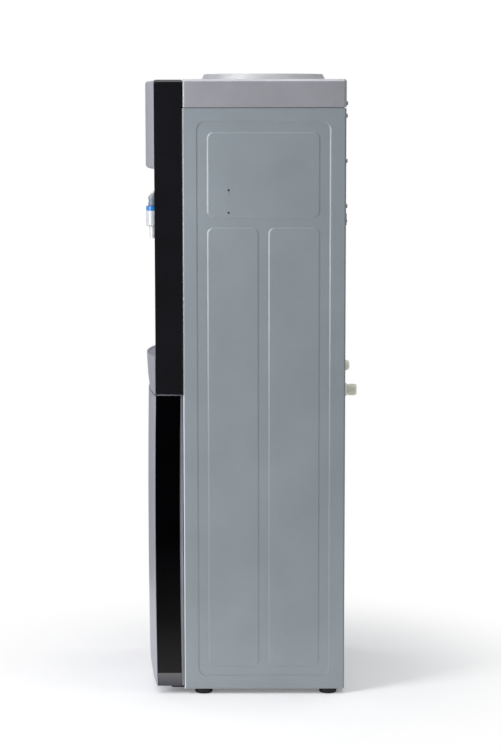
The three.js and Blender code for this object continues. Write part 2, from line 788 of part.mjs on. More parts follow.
function trayHousing() {
  const half = halfWidth - tray.inset;
  const rings = Array.from({ length: tray.levels }, (_, i) => {
    const share = i / (tray.levels - 1);
    const z = housingBottom + trayHousingHeight * share;
    const rim = rimLine(half, share).map(([x, y]) => [x, y, z]);
    return [...rim, [half, moduleEdge, z], [-half, moduleEdge, z]];
  });
  const bow = lofted(rings);
  const behind = centred(nicheHalf, moduleEdge - tray.wall, cabinetFront - seatGap, housingBottom, trayRim);
  const floor = trayRim - tray.depth - seatGap;
  const pocket = raised(trayOutline(tray.margin + tray.lipWidth - seatGap), floor, trayRim + overrun);
  const lipSeat = raised(trayOutline(tray.margin - seatGap), trayRim - tray.lip - seatGap, trayRim + overrun);
  const under = raised(trayOutline(tray.margin + tray.wall), housingBottom - overrun, floor - tray.floorWall);
  return cutBy(joined(bow, behind), pocket, lipSeat, under);
}

function dripTray() {
  const top = trayRim - seatGap;
  const foot = trayRim - tray.depth;
  const lip = raised(trayOutline(tray.margin), trayRim - tray.lip, top);
  const bodyInset = tray.margin + tray.lipWidth;
  const body = raised(trayOutline(bodyInset), foot, top);
  const ledgeTop = top - tray.grilleWall;
  const well = raised(trayOutline(bodyInset + tray.wall + tray.ledge), foot + tray.floorWall, top + overrun);
  const seat = raised(trayOutline(bodyInset + tray.wall), ledgeTop, top + overrun);
  return cutBy(joined(lip, body), well, seat);
}

function dripGrille() {
  const inset = tray.margin + tray.lipWidth + tray.wall + seatGap;
  const low = trayRim - tray.grilleWall;
  const plate = raised(trayOutline(inset), low, trayRim - seatGap);
  const rear = cabinetFront - tray.rearMargin - inset - tray.slotMargin;
  const slots = Array.from({ length: tray.slotCount }, (_, i) => {
    const x = (i - (tray.slotCount - 1) / 2) * tray.slotPitch;
    const half = tray.slotWidth / 2;
    const bowHalf = (halfWidth - tray.inset) * tray.flatShare - inset;
    const ahead = Math.abs(x) + half < bowHalf ? bowAt(x, bowHalf, trayBow - tray.margin) : 0;
    const front = moduleEdge + inset - ahead + tray.slotMargin;
    return raised(slotShape(x - half, x + half, front, rear), low - overrun, trayRim + overrun);
  });
  return cutBy(plate, ...slots);
}

const rightCheek = cheekPiece();
piece("cheek_right", rightCheek, blackGloss);
piece("cheek_left", mirrored(rightCheek), blackGloss);
piece("fascia_panel", fasciaPanel(), silverPlastic);
piece("indicator_lens", indicatorLens(), clearPlastic);
piece("niche_shell", nicheShell(), blackPlastic);
piece("tray_housing", trayHousing(), silverPlastic);
piece("drip_tray", dripTray(), greyPlastic);
piece("drip_grille", dripGrille(), silverPlastic);

// Tap pieces, drawn round the barrel's axis with the barrel's foot at z = 0
function tapBody() {
  const top = tap.barrelHeight;
  const barrel = turned([
    [0, 0],
    [tap.barrel - tap.barrelRound, 0],
    [tap.barrel - tap.barrelRound * 0.3, tap.barrelRound * 0.3],
    [tap.barrel, tap.barrelRound],
    [tap.barrel, top],
    [0, top],
  ]);
  const face = bossFace - seatGap - tapY;
  const end = bossBack + tap.threadReach - tapY;
  const arm = turnedBack(
    [
      [0, 0],
      [tap.arm, 0],
      [tap.arm, face - tap.flangeWall * 2],
      [tap.flange * 0.75, face - tap.flangeWall],
      [tap.flange, face - tap.flangeWall],
      [tap.flange, face],
      [tap.thread, face],
      [tap.thread, end],
      [0, end],
    ],
    roundFacets,
  );
  const well = rod(tap.ringBore, top - tap.well, top + overrun);
  const bore = rod(tap.bore, -overrun, top, smallFacets);
  const armBore = moved(rodBack(tap.armBore, 0, end + overrun, smallFacets), 0, 0, tap.armRise);
  return cutBy(joined(barrel, moved(arm, 0, 0, tap.armRise)), well, bore, armBore);
}

function tapRing() {
  const low = tap.barrelHeight + seatGap / 3;
  const high = tap.barrelHeight + tap.ringHeight;
  const round = tap.barrelRound * 0.4;
  return turned([
    [tap.ringBore, low],
    [tap.barrel, low],
    [tap.barrel, high - round],
    [tap.barrel - round, high],
    [tap.ringBore, high],
  ]);
}

const button = {
  skirt: 7.5,
  skirtHeight: 6.3,
  waist: 5.9,
  waistRise: 8.8,
  head: 7.1,
  headLow: 11.8,
  headHigh: 15.4,
  crown: 4,
  height: 21.1,
  stem: 3,
  stemReach: 24,
};

function tapButton() {
  const foot = tap.barrelHeight + tap.ringHeight + seatGap;
  return turned([
    [0, foot - button.stemReach],
    [button.stem, foot - button.stemReach],
    [button.stem, foot],
    [button.skirt, foot],
    [button.skirt, foot + button.skirtHeight * 0.6],
    [button.skirt - seatGap * 2, foot + button.skirtHeight],
    [button.waist, foot + button.waistRise],
    [button.head - seatGap, foot + button.headLow],
    [button.head, foot + button.headHigh],
    [button.crown + seatGap * 4, foot + button.headHigh + seatGap * 5],
    [button.crown, foot + button.height - seatGap * 2],
    [button.crown * 0.6, foot + button.height],
    [0, foot + button.height],
  ]);
}

function tapSpout() {
  return turned([
    [tap.spoutBore, -tap.spoutLength],
    [tap.spoutTip, -tap.spoutLength],
    [tap.spoutTop, -seatGap],
    [tap.bore - seatGap, -seatGap],
    [tap.bore - seatGap, tap.spigot],
    [tap.spoutBore, tap.spigot],
  ], smallFacets);
}

function tapNut() {
  const start = bossBack + seatGap;
  const hexagon = turnedBack(
    [[0, start], [tap.nutAcross, start], [tap.nutAcross, start + tap.nutWall], [0, start + tap.nutWall]],
    6,
  );
  return hexagon.subtract(rodBack(tap.thread + runGap, start - overrun, start + tap.nutWall + overrun));
}

// Safety lock: a red collar round the hot button's waist, turned by its lug before the button can be pressed
const lock = { outer: 9.2, bore: 6.9, height: 2.6, lug: 3, lugWidth: 4, rise: 7.3 };

function tapLock() {
  const foot = tap.barrelHeight + tap.ringHeight + seatGap + lock.rise;
  const collarRing = rod(lock.outer, foot, foot + lock.height, smallFacets);
  const half = lock.lugWidth / 2;
  const lug = block([-half, -lock.outer - lock.lug, foot], [half, 0, foot + lock.height]);
  return joined(collarRing, lug).subtract(rod(lock.bore, foot - overrun, foot + lock.height + overrun));
}

function addTap(name, side, ringMaterial) {
  const group = new THREE.Group();
  group.position.set(side * tapX, tapY, barrelFoot);
  piece(`${name}_tap_body`, tapBody(), whitePlastic, group);
  piece(`${name}_tap_ring`, tapRing(), ringMaterial, group);
  piece(`${name}_tap_button`, tapButton(), greyPlastic, group);
  piece(`${name}_tap_spout`, tapSpout(), clearPlastic, group);
  const nut = piece(`${name}_tap_nut`, tapNut(), whitePlastic, group);
  nut.position.set(0, -tapY, tap.armRise);
  cooler.add(group);
  return group;
}

addTap("cold", 1, bluePlastic);
const hotTap = addTap("hot", -1, redPlastic);
piece("hot_tap_lock", tapLock(), redPlastic, hotTap);

// Door: silver bowed front, black side trims, a moulded liner behind and a seal round its back
const door = {
  bow: 18.2,
  frontInset: 0.4,
  heightBow: 2.1, // the whole door bows forward a little between its top and bottom
  levels: 5,
  wall: 2.5,
  chinHeight: 29, // below this the silver front slopes back to a straight bottom edge
  trimWall: 2.5,
  trimDepth: 40,
  toeHeight: 22.4,
  toeSlope: 2.5,
  linerInset: 0.3,
  linerCorner: 2, // taken off the liner's back edges, so that they clear the body as the door turns
  sealStrip: 4,
  sealWidth: 7,
  sealDepth: 4,
  boss: 6.5,
  gripWidth: 24,
  gripHeight: 96,
  gripDepth: 13,
  gripShare: 0.7, // height of the grip's middle, as a share of the door's
};
const doorGroup = new THREE.Group();
cooler.add(doorGroup);
const trimInner = halfWidth - door.trimWall;
const linerHalf = trimInner - seatGap;
const doorBowAt = (z) => {
  const half = doorHeight / 2;
  return bowAt(Math.min(Math.max(z - doorBottom - half, -half), half), half, door.heightBow);
};
const doorLevelAt = (i) => doorBottom + (doorHeight * i) / (door.levels - 1);
const doorLevels = Array.from({ length: door.levels }, (_, i) => doorLevelAt(i));
const trimFront = moduleFront + seatGap * 2;
const doorFrontEdge = trimFront - seatGap;

function bowedStack(half, bow, edge, ahead, levels) {
  return levels.map((z) => {
    const shift = doorBowAt(z);
    const line = bowLine(half, bow, edge - ahead - shift).map(([x, y]) => [x, y, z]);
    return [...line, [half, edge - shift, z], [-half, edge - shift, z]];
  });
}

function doorFront() {
  const half = halfWidth - door.frontInset;
  const lip = linerWall / 2;
  const outer = lofted(bowedStack(half, door.bow - lip, doorFrontEdge, lip, doorLevels));
  const innerLevels = doorLevels.map((z, i) => {
    if (i === 0) {
      return z + door.wall;
    }
    return i === doorLevels.length - 1 ? z - door.wall : z;
  });
  const innerBow = door.bow - door.wall;
  const inner = lofted(bowedStack(half - door.wall, innerBow, doorFrontEdge + overrun, overrun, innerLevels));
  return chinCut(outer, 0).subtract(chinCut(inner, door.wall));
}

// Everything in front of and below the sloping chin goes, or so far behind it as the depth says.
function chinCut(made, depth) {
  const slope = Math.hypot(door.chinHeight, door.bow);
  const backward = door.chinHeight / slope;
  const upward = door.bow / slope;
  return made.trimByPlane([0, backward, upward], doorFrontEdge * backward + doorBottom * upward + depth);
}

// Trim seen from the side: front and back edges bow forward together, the foot slopes inwards.
function doorTrim() {
  const stack = (lowX, highX, slope) =>
    doorTrimLevels().map((z) => {
      const shift = doorBowAt(z);
      const front = trimFront - shift;
      const rear = front + door.trimDepth;
      const sloped = Math.max(0, doorBottom + door.toeHeight - z) / door.toeHeight;
      const outer = highX - slope * sloped;
      const inner = lowX - slope * sloped;
      return [
        [inner, front, z],
        [outer - door.trimWall * 0.3, front, z],
        [outer, front + door.trimWall * 0.3, z],
        [outer, rear - door.trimWall * 0.3, z],
        [outer - door.trimWall * 0.3, rear, z],
        [inner, rear, z],
      ];
    });
  return lofted(stack(trimInner, halfWidth, door.toeSlope));
}

function doorTrimLevels() {
  const toe = doorBottom + door.toeHeight;
  return [doorBottom, toe, ...doorLevels.filter((z) => z > toe + door.toeHeight)];
}

// Liner: a tray that is open to the front, with a sunk field behind, hinge bosses and a finger grip.
function doorLiner() {
  const low = doorBottom + door.linerInset;
  const high = doorTop - door.linerInset;
  const front = doorFrontEdge + seatGap * 2;
  const toe = low + door.toeHeight;
  const toeHalf = linerHalf - door.toeSlope;
  const section = (inset, rise) =>
    outline([
      [-toeHalf + inset, low + rise],
      [toeHalf - inset, low + rise],
      [linerHalf - inset, toe + rise],
      [linerHalf - inset, high - rise],
      [-linerHalf + inset, high - rise],
      [-linerHalf + inset, toe + rise],
    ]);
  const corner = door.linerCorner;
  const plan = outline([
    [-linerHalf, front],
    [linerHalf, front],
    [linerHalf, doorBack - corner],
    [linerHalf - corner, doorBack],
    [-linerHalf + corner, doorBack],
    [-linerHalf, doorBack - corner],
  ]);
  const shell = backwards(section(0, 0), front, doorBack).intersect(raised(plan, low, high));
  const fieldBack = doorBack - door.sealDepth;
  const hollow = backwards(section(linerWall, linerWall), front - overrun, fieldBack - linerWall);
  const sunk = backwards(section(door.sealStrip, door.sealStrip), fieldBack, doorBack + overrun);
  const bossAt = (from, to) => moved(rod(door.boss, from, to), hingeX, hingeY, 0);
  const bosses = joined(
    bossAt(high - hinge.pinRise - linerWall, high),
    bossAt(low, low + hinge.pinRise + linerWall),
  ).intersect(shell);
  const pins = joined(
    moved(rod(hinge.pin + runGap, high - hinge.pinRise, high + overrun, roundFacets), hingeX, hingeY, 0),
    moved(rod(hinge.pin + runGap, low - overrun, low + hinge.pinRise, roundFacets), hingeX, hingeY, 0),
  );
  const cup = fingerGrip(linerWall).intersect(shell);
  return cutBy(joined(shell.subtract(hollow), bosses, cup), sunk, pins, fingerGrip(0));
}

// The hollow for the fingers in the door's left side, or with the given wall round it.
function fingerGrip(wall) {
  const middleY = (doorFrontEdge + doorBack) / 2;
  const middleZ = doorBottom + doorHeight * door.gripShare;
  const halfY = door.gripWidth / 2 + wall;
  const halfZ = door.gripHeight / 2 + wall;
  const corner = door.gripWidth / 3;
  const shape = rectangle(middleY - halfY, middleY + halfY, middleZ - halfZ, middleZ + halfZ, corner);
  return sideways(shape, -halfWidth - overrun, -halfWidth + door.gripDepth + wall);
}

function doorSeal() {
  const inset = door.sealStrip + seatGap;
  const half = linerHalf - inset;
  const low = doorBottom + door.linerInset + door.toeHeight + inset;
  const high = doorTop - door.linerInset - inset;
  const front = doorBack - door.sealDepth + seatGap;
  const rear = cabinetFront - seatGap;
  const ring = (shrink) => {
    const corner = door.sealWidth - shrink / 2;
    return rectangle(-half + shrink, half - shrink, low + shrink, high - shrink, corner);
  };
  const opening = backwards(ring(door.sealWidth), front - overrun, rear + overrun);
  return backwards(ring(0), front, rear).subtract(opening);
}

piece("door_front", doorFront(), silverPlastic, doorGroup);
const rightTrim = doorTrim();
piece("door_trim_right", rightTrim, blackGloss, doorGroup);
piece("door_trim_left", mirrored(rightTrim).subtract(fingerGrip(0)), blackGloss, doorGroup);
piece("door_liner", doorLiner(), greyPlastic, doorGroup);
piece("door_seal", doorSeal(), softRubber, doorGroup);

// Hinge plates: a leg into the cabinet, a rounded nose under or over the door, and the pin
function hingePlate() {
  const nose = new THREE.Shape();
  const legInner = legOuter - hinge.leg;
  nose.moveTo(legInner, cabinetFront + hinge.legBack);
  nose.lineTo(legInner, hingeY);
  nose.lineTo(legInner + hinge.nose, hingeY - hinge.nose);
  nose.absarc(hingeX, hingeY, hinge.nose, -Math.PI / 2, 0);
  nose.lineTo(hingeX + hinge.nose, cabinetFront - seatGap * 2);
  nose.lineTo(legOuter, cabinetFront - seatGap * 2);
  nose.lineTo(legOuter, cabinetFront + hinge.legBack);
  return nose;
}

function hingeBottom() {
  const low = panFloor + seatGap;
  const plate = raised(hingePlate(), low, low + hinge.plate);
  const washer = rod(hinge.washer, low, doorBottom - seatGap, smallFacets);
  const pin = rod(hinge.pin, low, doorBottom + hinge.pinRise - linerWall);
  return joined(plate, moved(joined(washer, pin), hingeX, hingeY, 0));
}

function hingeTop() {
  const low = doorTop + seatGap;
  const thin = hinge.plate - seatGap * 2;
  const plate = raised(hingePlate(), low, low + thin);
  const pin = rod(hinge.pin, doorTop - hinge.pinRise + linerWall, low + thin);
  return joined(plate, moved(pin, hingeX, hingeY, 0));
}

piece("hinge_bottom", hingeBottom(), blackPlastic);
piece("hinge_top", hingeTop(), blackPlastic);

// Storage cabinet: a moulded box that is open to the front, and the catch that holds the door shut
const cabinet = {
  side: 4, // frame edge to the box's outside
  rearGap: 22, // to the back edge of the steel body
  lipDepth: 24,
  frame: 1.2,
};
const linerOuter = flangeEdge - seatGap - cabinet.side;
const magnet = { width: 44, height: 14, depth: 16, wall: 2 };
const magnetX = magnet.width - flangeEdge;
const magnetZ = (linerHead + doorTop) / 2 - magnet.wall;

function cabinetLiner() {
  const half = linerOuter;
  const rear = cabinetRear - cabinet.rearGap;
  const frameHalf = flangeEdge - seatGap;
  const frameLow = footHeight + panLip + seatGap;
  const frameHigh = doorTop;
  const face = centred(frameHalf, cabinetFront, cabinetFront + cabinet.frame, frameLow, frameHigh);
  const lipBack = cabinetFront + cabinet.lipDepth;
  const lip = centred(frameHalf, cabinetFront, lipBack, frameHigh - cabinet.frame, frameHigh);
  const box = centred(half, cabinetFront, rear, linerFoot, linerHead);
  const wall = linerWall;
  const room = centred(half - wall, cabinetFront - overrun, rear - wall, linerFoot + wall, linerHead - wall);
  const halfX = magnet.width / 2 + seatGap;
  const halfZ = magnet.height / 2 + seatGap;
  const catchHole = block(
    [magnetX - halfX, cabinetFront - overrun, magnetZ - halfZ],
    [magnetX + halfX, cabinetFront + cabinet.frame + overrun, magnetZ + halfZ],
  );
  return cutBy(joined(face, lip, box), room, catchHole);
}

// Magnet catch in the frame: a flanged block with a slot for its two pole plates.
function magnetCatch() {
  const half = magnet.width / 2;
  const body = block(
    [magnetX - half, cabinetFront, magnetZ - magnet.height / 2],
    [magnetX + half, cabinetFront + magnet.depth, magnetZ + magnet.height / 2],
  );
  const grooveHalf = half - magnet.wall * 2;
  const groove = block(
    [magnetX - grooveHalf, cabinetFront - overrun, magnetZ - magnet.wall / 2],
    [magnetX + grooveHalf, cabinetFront + magnet.wall, magnetZ + magnet.wall / 2],
  );
  return body.subtract(groove);
}

piece("cabinet_liner", cabinetLiner(), whitePlastic);
piece("magnet_catch", magnetCatch(), blackPlastic);

// Decks: folded sheets across the body, one over the storage cabinet and one under the cold tank
const deck = {
  lift: 5, // lower deck above the storage box
  lip: 12,
  overHot: 47, // cold deck above the hot tank
};
const deckTop = linerHead + deck.lift + sheetWall;
const hot = {
  radius: 48,
  wall: 1.2,
  lift: 78.1, // tank's foot above the deck
  height: 150,
  dome: 12,
  x: -30,
  legWidth: 12,
  legWall: 2,
  band: 4,
  bandFoot: 40,
  bandHeight: 60,
  pipe: 5,
  outX: -18, // outlet pipe from the tank's axis
  outRise: 6,
  drainDrop: 18,
};
const hotFoot = deckTop + hot.lift;
const hotTop = hotFoot + hot.height;
const coldDeckZ = hotTop + deck.overHot;

function deckSheet(low, cuts) {
  const half = panelInside - panel.pressing - seatGap;
  const front = cabinetFront + sheetWall + cabinet.lipDepth + seatGap;
  const rear = cabinetRear - sheetWall - seatGap;
  const high = low + deck.lip;
  const wall = sheetWall;
  const shell = centred(half, front, rear, low, high);
  const inside = centred(half - wall, front + wall, rear - wall, low + wall, high + overrun);
  return cutBy(shell.subtract(inside), ...cuts);
}

// Cold side: a steel tank in a foam block, the cooling module on its back, a finned sink and a fan
const cold = {
  rearRoom: 60, // behind the tank for the module, the sink and the fan
  wall: 1.2,
  foamWall: 20,
  foamFront: 14,
  foamRear: 11,
  foamFloor: 24.7,
  rim: 4,
  stub: 5,
  stubReach: 30,
  stubShare: 0.4167, // outlet off the axis, as a share of the tank's radius
  feedShare: -0.2778,
};
const coldRadius = cabinetDepth / 2 - cold.rearRoom;
const stubX = coldRadius * cold.stubShare;
const feedX = coldRadius * cold.feedShare;
const foamLow = coldDeckZ + sheetWall + seatGap;
const coldFoot = foamLow + cold.foamFloor;
const receiverFoot = coverTop - shellWall - seatGap - bottle.funnelDrop - bottle.neckDrop;
const tankTop = receiverFoot - seatGap;
const module = { width: 40, height: 4, pad: 8, rise: 77 }; // its middle that far above the tank's foot
const sink = { width: 110, height: 100, base: 6, fin: 1.6, finDepth: 16, fins: 13 };
const fan = {
  size: 92,
  depth: 20,
  ring: 43,
  corner: 5,
  hub: 17,
  hubDepth: 14,
  blades: 7,
  bladeWall: 1.6,
  bladeTwistShare: 0.09,
  tipGap: 2,
  strut: 4,
  strutWall: 3,
  bearing: 4,
};
const tankRear = cabinetMiddle + coldRadius;
const moduleY = tankRear + module.pad;
const moduleZ = coldFoot + module.rise;

function coldTank() {
  const wall = cold.wall;
  const shell = turned(
    [
      [0, coldFoot],
      [coldRadius, coldFoot],
      [coldRadius, tankTop - wall],
      [coldRadius + cold.rim, tankTop - wall],
      [coldRadius + cold.rim, tankTop],
      [coldRadius - wall, tankTop],
      [coldRadius - wall, coldFoot + wall],
      [0, coldFoot + wall],
    ],
    wideFacets,
  );
  const stub = rod(cold.stub, coldFoot - cold.stubReach, coldFoot + wall, smallFacets);
  const stubs = [stubX, feedX].map((x) => moved(stub, x, 0, 0));
  const bore = rod(cold.stub - wall, coldFoot - cold.stubReach - overrun, coldFoot + overrun, smallFacets);
  const bores = [stubX, feedX].map((x) => moved(bore, x, 0, 0));
  const pad = block(
    [-module.width / 2, coldRadius * 0.9, moduleZ - module.width / 2],
    [module.width / 2, coldRadius + module.pad, moduleZ + module.width / 2],
  ).subtract(rod(coldRadius - wall / 2, coldFoot, tankTop, wideFacets));
  return moved(cutBy(joined(shell, ...stubs, pad), ...bores), 0, cabinetMiddle, 0);
}

function tankInsulation() {
  const reach = coldRadius + cold.foamWall;
  const front = -coldRadius - cold.foamFront;
  const rear = coldRadius + cold.foamRear;
  const plan = rectangle(-reach, reach, front, rear, cold.foamRear);
  const foamBlock = raised(plan, foamLow, tankTop - cold.rim);
  const well = rod(coldRadius + seatGap, coldFoot - seatGap, tankTop + overrun, wideFacets);
  const holes = [stubX, feedX].map((x) =>
    moved(rod(cold.stub + seatGap, foamLow - overrun, coldFoot, smallFacets), x, 0, 0),
  );
  const grow = module.width / 2 + seatGap;
  const window = block([-grow, 0, moduleZ - grow], [grow, reach + overrun, moduleZ + grow]);
  return moved(cutBy(foamBlock, well, window, ...holes), 0, cabinetMiddle, 0);
}

function coolingModule() {
  const half = module.width / 2;
  const y = moduleY + seatGap;
  return block([-half, y, moduleZ - half], [half, y + module.height, moduleZ + half]);
}

// Finned sink, drawn as a comb in plan.
function heatSink() {
  const half = sink.width / 2;
  const front = moduleY + module.height + seatGap * 2;
  const back = front + sink.base;
  const pitch = (sink.width - sink.fin) / (sink.fins - 1);
  const tips = back + sink.finDepth;
  const comb = [[half, front], [-half, front]];
  for (let i = 0; i < sink.fins; i++) {
    const x = -half + i * pitch;
    comb.push([x, back], [x, tips], [x + sink.fin, tips], [x + sink.fin, back]);
  }
  comb.splice(2, 1); // the outer fins are flush with the base's ends
  comb.pop();
  return raised(outline(comb), moduleZ - sink.height / 2, moduleZ + sink.height / 2);
}

const fanFront = moduleY + module.height + sink.base + sink.finDepth + seatGap * 3;
const fanBack = fanFront + fan.depth;
const rotorFront = fanFront + fan.strutWall + seatGap;

function fanFrame() {
  const half = fan.size / 2;
  const frame = backwards(rectangle(-half, half, -half, half, fan.corner), fanFront, fanBack);
  const duct = rodBack(fan.ring, fanFront - overrun, fanBack + overrun, wideFacets);
  const strutReach = fan.ring + fan.corner / 2;
  const bar = block([-fan.strut / 2, fanFront, 0], [fan.strut / 2, fanFront + fan.strutWall, strutReach]);
  const quarters = [1, 3, 5, 7];
  const struts = quarters.map((i) => solid(geometryOf(bar).rotateY((i * Math.PI) / 4)));
  const motor = rodBack(fan.hub * 0.8, fanFront, fanFront + fan.strutWall, roundFacets);
  const shaft = rodBack(fan.bearing, fanFront, fanFront + fan.hubDepth * 0.8, smallFacets);
  return moved(joined(frame.subtract(duct), ...struts, motor, shaft), 0, 0, moduleZ);
}

// Fan rotor: a cup on the shaft with blades that twist from front to back.
function fanRotor() {
  const back = rotorFront + fan.hubDepth;
  const hub = turnedBack([
    [fan.bearing + runGap, rotorFront],
    [fan.hub, rotorFront],
    [fan.hub, back - fan.bladeWall],
    [fan.hub - fan.bladeWall, back],
    [0, back],
    [0, back - fan.bladeWall],
    [fan.bearing + runGap, back - fan.bladeWall],
  ]);
  const tip = fan.ring - fan.tipGap;
  const levels = 3;
  const blade = lofted(
    Array.from({ length: levels }, (_, i) => {
      const share = i / (levels - 1);
      const angle = (share - 0.5) * 2 * Math.PI * fan.bladeTwistShare;
      const half = fan.bladeWall / 2;
      const corners = [[fan.hub * 0.8, -half], [tip, -half], [tip, half], [fan.hub * 0.8, half]];
      return corners.map(([u, v]) => [
        u * Math.cos(angle) - v * Math.sin(angle),
        u * Math.sin(angle) + v * Math.cos(angle),
        fan.bladeWall / 2 + share * (fan.hubDepth - fan.bladeWall * 2),
      ]);
    }),
  );
  const standing = solid(geometryOf(blade).rotateX(-Math.PI / 2));
  const blades = Array.from({ length: fan.blades }, (_, i) => {
    const turnedBlade = geometryOf(standing).rotateY((i * 2 * Math.PI) / fan.blades);
    return solid(turnedBlade.translate(0, rotorFront, 0));
  });
  const cup = rodBack(fan.bearing + runGap, rotorFront - overrun, back - fan.bladeWall, smallFacets);
  return moved(joined(hub, ...blades).subtract(cup), 0, 0, moduleZ);
}

// Hot side: a closed steel tank on a bracket, a heater band round it, and its pipes
function hotTank() {
  const vessel = (wall) =>
    turned([
      [0, hotFoot - hot.dome + wall],
      [hot.radius * 0.6, hotFoot - hot.dome * 0.75 + wall],
      [hot.radius - wall, hotFoot],
      [hot.radius - wall, hotTop],
      [hot.radius * 0.6, hotTop + hot.dome * 0.75 - wall],
      [0, hotTop + hot.dome - wall],
    ]);
  const legs = Array.from({ length: 3 }, (_, i) => {
    const leg = block(
      [hot.radius - hot.legWall, -hot.legWidth / 2, deckTop + seatGap],
      [hot.radius + hot.legWall / 2, hot.legWidth / 2, hotFoot + hot.dome],
    );
    return solid(geometryOf(leg).rotateZ((i * 2 * Math.PI) / 3));
  });
  const feedTop = coldFoot - cold.stubReach - seatGap;
  const outTop = hotTop + hot.dome + hot.outRise;
  const drainFoot = hotFoot - hot.dome - hot.drainDrop;
  const pipes = (radius, past) => [
    moved(rod(radius, hotTop, feedTop + past, smallFacets), feedX - hot.x, 0, 0),
    moved(rod(radius, hotTop, outTop + past, smallFacets), hot.outX, 0, 0),
    rod(radius, drainFoot - past, hotFoot, smallFacets),
  ];
  const outside = joined(vessel(0), ...legs, ...pipes(hot.pipe, 0));
  const water = joined(vessel(hot.wall), ...pipes(hot.pipe - hot.wall, overrun));
  return moved(outside.subtract(water), hot.x, cabinetMiddle, 0);
}

function hotTankHeater() {
  const low = hotFoot + hot.bandFoot;
  const high = low + hot.bandHeight;
  const bore = hot.radius + seatGap;
  const band = turned([[bore, low], [bore + hot.band, low], [bore + hot.band, high], [bore, high]]);
  const lug = block(
    [-hot.legWidth / 2, bore + hot.band / 2, low + hot.band],
    [hot.legWidth / 2, bore + hot.band * 3, high - hot.band],
  );
  return moved(joined(band, lug), hot.x, cabinetMiddle, 0);
}

// Supply box on the lower deck: a vented case with a transformer-sized block inside its outline.
const supply = {
  width: 70,
  depth: 90,
  height: 60,
  sideGap: 24, // to the cabinet's side
  rearGap: 47.85, // to the back edge of the steel body
  slots: 7,
  slotWidth: 3,
  corner: 4,
};

function powerBox() {
  const low = deckTop + seatGap;
  const halfX = supply.width / 2;
  const halfY = supply.depth / 2;
  const middleX = halfWidth - supply.sideGap - halfX;
  const middleY = cabinetRear - supply.rearGap - halfY;
  const plan = rectangle(middleX - halfX, middleX + halfX, middleY - halfY, middleY + halfY, supply.corner);
  const box = raised(plan, low, low + supply.height);
  const pitch = supply.width / (supply.slots + 1);
  const slots = Array.from({ length: supply.slots }, (_, i) => {
    const x = middleX - halfX + (i + 1) * pitch;
    return block(
      [x - supply.slotWidth / 2, middleY - halfY * 0.7, low + supply.height - supply.slotWidth * 2],
      [x + supply.slotWidth / 2, middleY + halfY * 0.7, low + supply.height + overrun],
    );
  });
  return cutBy(box, ...slots);
}

// Back panel: flat sheet on the rear flanges, with two fields of vent slots and the holes for the fittings
const back = {
  inset: 0.7, // from the side panels' faces
  slotWidth: 5,
  slotLength: 70,
  slotPitch: 13,
  slotCount: 7,
};
const drain = {
  x: 50,
  rise: 29.7, // lower fitting above the deck
  pitch: 41.4, // between the two fittings
  flange: 11,
  flangeWall: 3,
  pipe: 6,
  cap: 9.5,
  neck: 7.6,
  plugRadius: 8.7,
  capRibs: 8,
};
const switches = {
  inX: 43, // from the cabinet's side
  rise: 45.5, // above the cold deck
  bodyWidth: 21,
  bodyHeight: 15,
  pitch: 24,
  bezel: 2,
  bezelWall: 1.4,
  depth: 18,
  wall: 1.5,
  rockerRise: 2.6,
  pivotDepth: 2,
  tilt: 9, // degrees either way
};
const gland = { inX: 51, rise: 53.1, radius: 9, bore: 4, nose: 7, flange: 12.5, flangeWall: 2.4, inside: 12 };
const lowerDrainZ = deckTop + drain.rise;
const upperDrainZ = lowerDrainZ + drain.pitch;
const switchX = halfWidth - switches.inX;
const switchZ = coldDeckZ + switches.rise;
const glandX = gland.inX - halfWidth;
const glandZ = deckTop + gland.rise;

function backPanel() {
  const foot = footHeight + back.inset;
  const sheet = centred(panelFace - back.inset, cabinetRear, backFace, foot, panelTop - back.inset);
  const slots = [];
  for (const z of [moduleZ, hotFoot + hot.height / 2]) {
    for (let i = 0; i < back.slotCount; i++) {
      const x = (i - (back.slotCount - 1) / 2) * back.slotPitch;
      const half = back.slotWidth / 2;
      const shape = slotShape(x - half, x + half, z - back.slotLength / 2, z + back.slotLength / 2);
      slots.push(backwards(shape, cabinetRear - overrun, backFace + overrun));
    }
  }
  const roundHole = (x, z, radius) =>
    moved(rodBack(radius, cabinetRear - overrun, backFace + overrun, smallFacets), x, 0, z);
  const holes = [
    roundHole(drain.x, upperDrainZ, drain.pipe + seatGap),
    roundHole(drain.x, lowerDrainZ, drain.pipe + seatGap),
    roundHole(glandX, glandZ, gland.radius + seatGap),
  ];
  const halfBody = (switches.pitch + switches.bodyWidth) / 2 + seatGap;
  const window = block(
    [switchX - halfBody, cabinetRear - overrun, switchZ - switches.bodyHeight / 2 - seatGap],
    [switchX + halfBody, backFace + overrun, switchZ + switches.bodyHeight / 2 + seatGap],
  );
  return cutBy(sheet, ...slots, ...holes, window);
}

piece("back_panel", backPanel(), greyEnamel);

// Drain fittings in the back panel, with a plug in the upper and a screw cap on the lower
function upperDrainPlug() {
  const face = backFace + seatGap;
  const inside = cabinetRear - sheetWall - drain.flangeWall * 2;
  const dome = drainReach / 2 - backWall;
  return turnedBack(
    [
      [0, inside],
      [drain.pipe, inside],
      [drain.pipe, face],
      [drain.plugRadius, face],
      [drain.plugRadius, face + dome * 0.55],
      [drain.plugRadius * 0.8, face + dome * 0.85],
      [drain.plugRadius * 0.4, face + dome],
      [0, face + dome],
    ],
    smallFacets,
  );
}

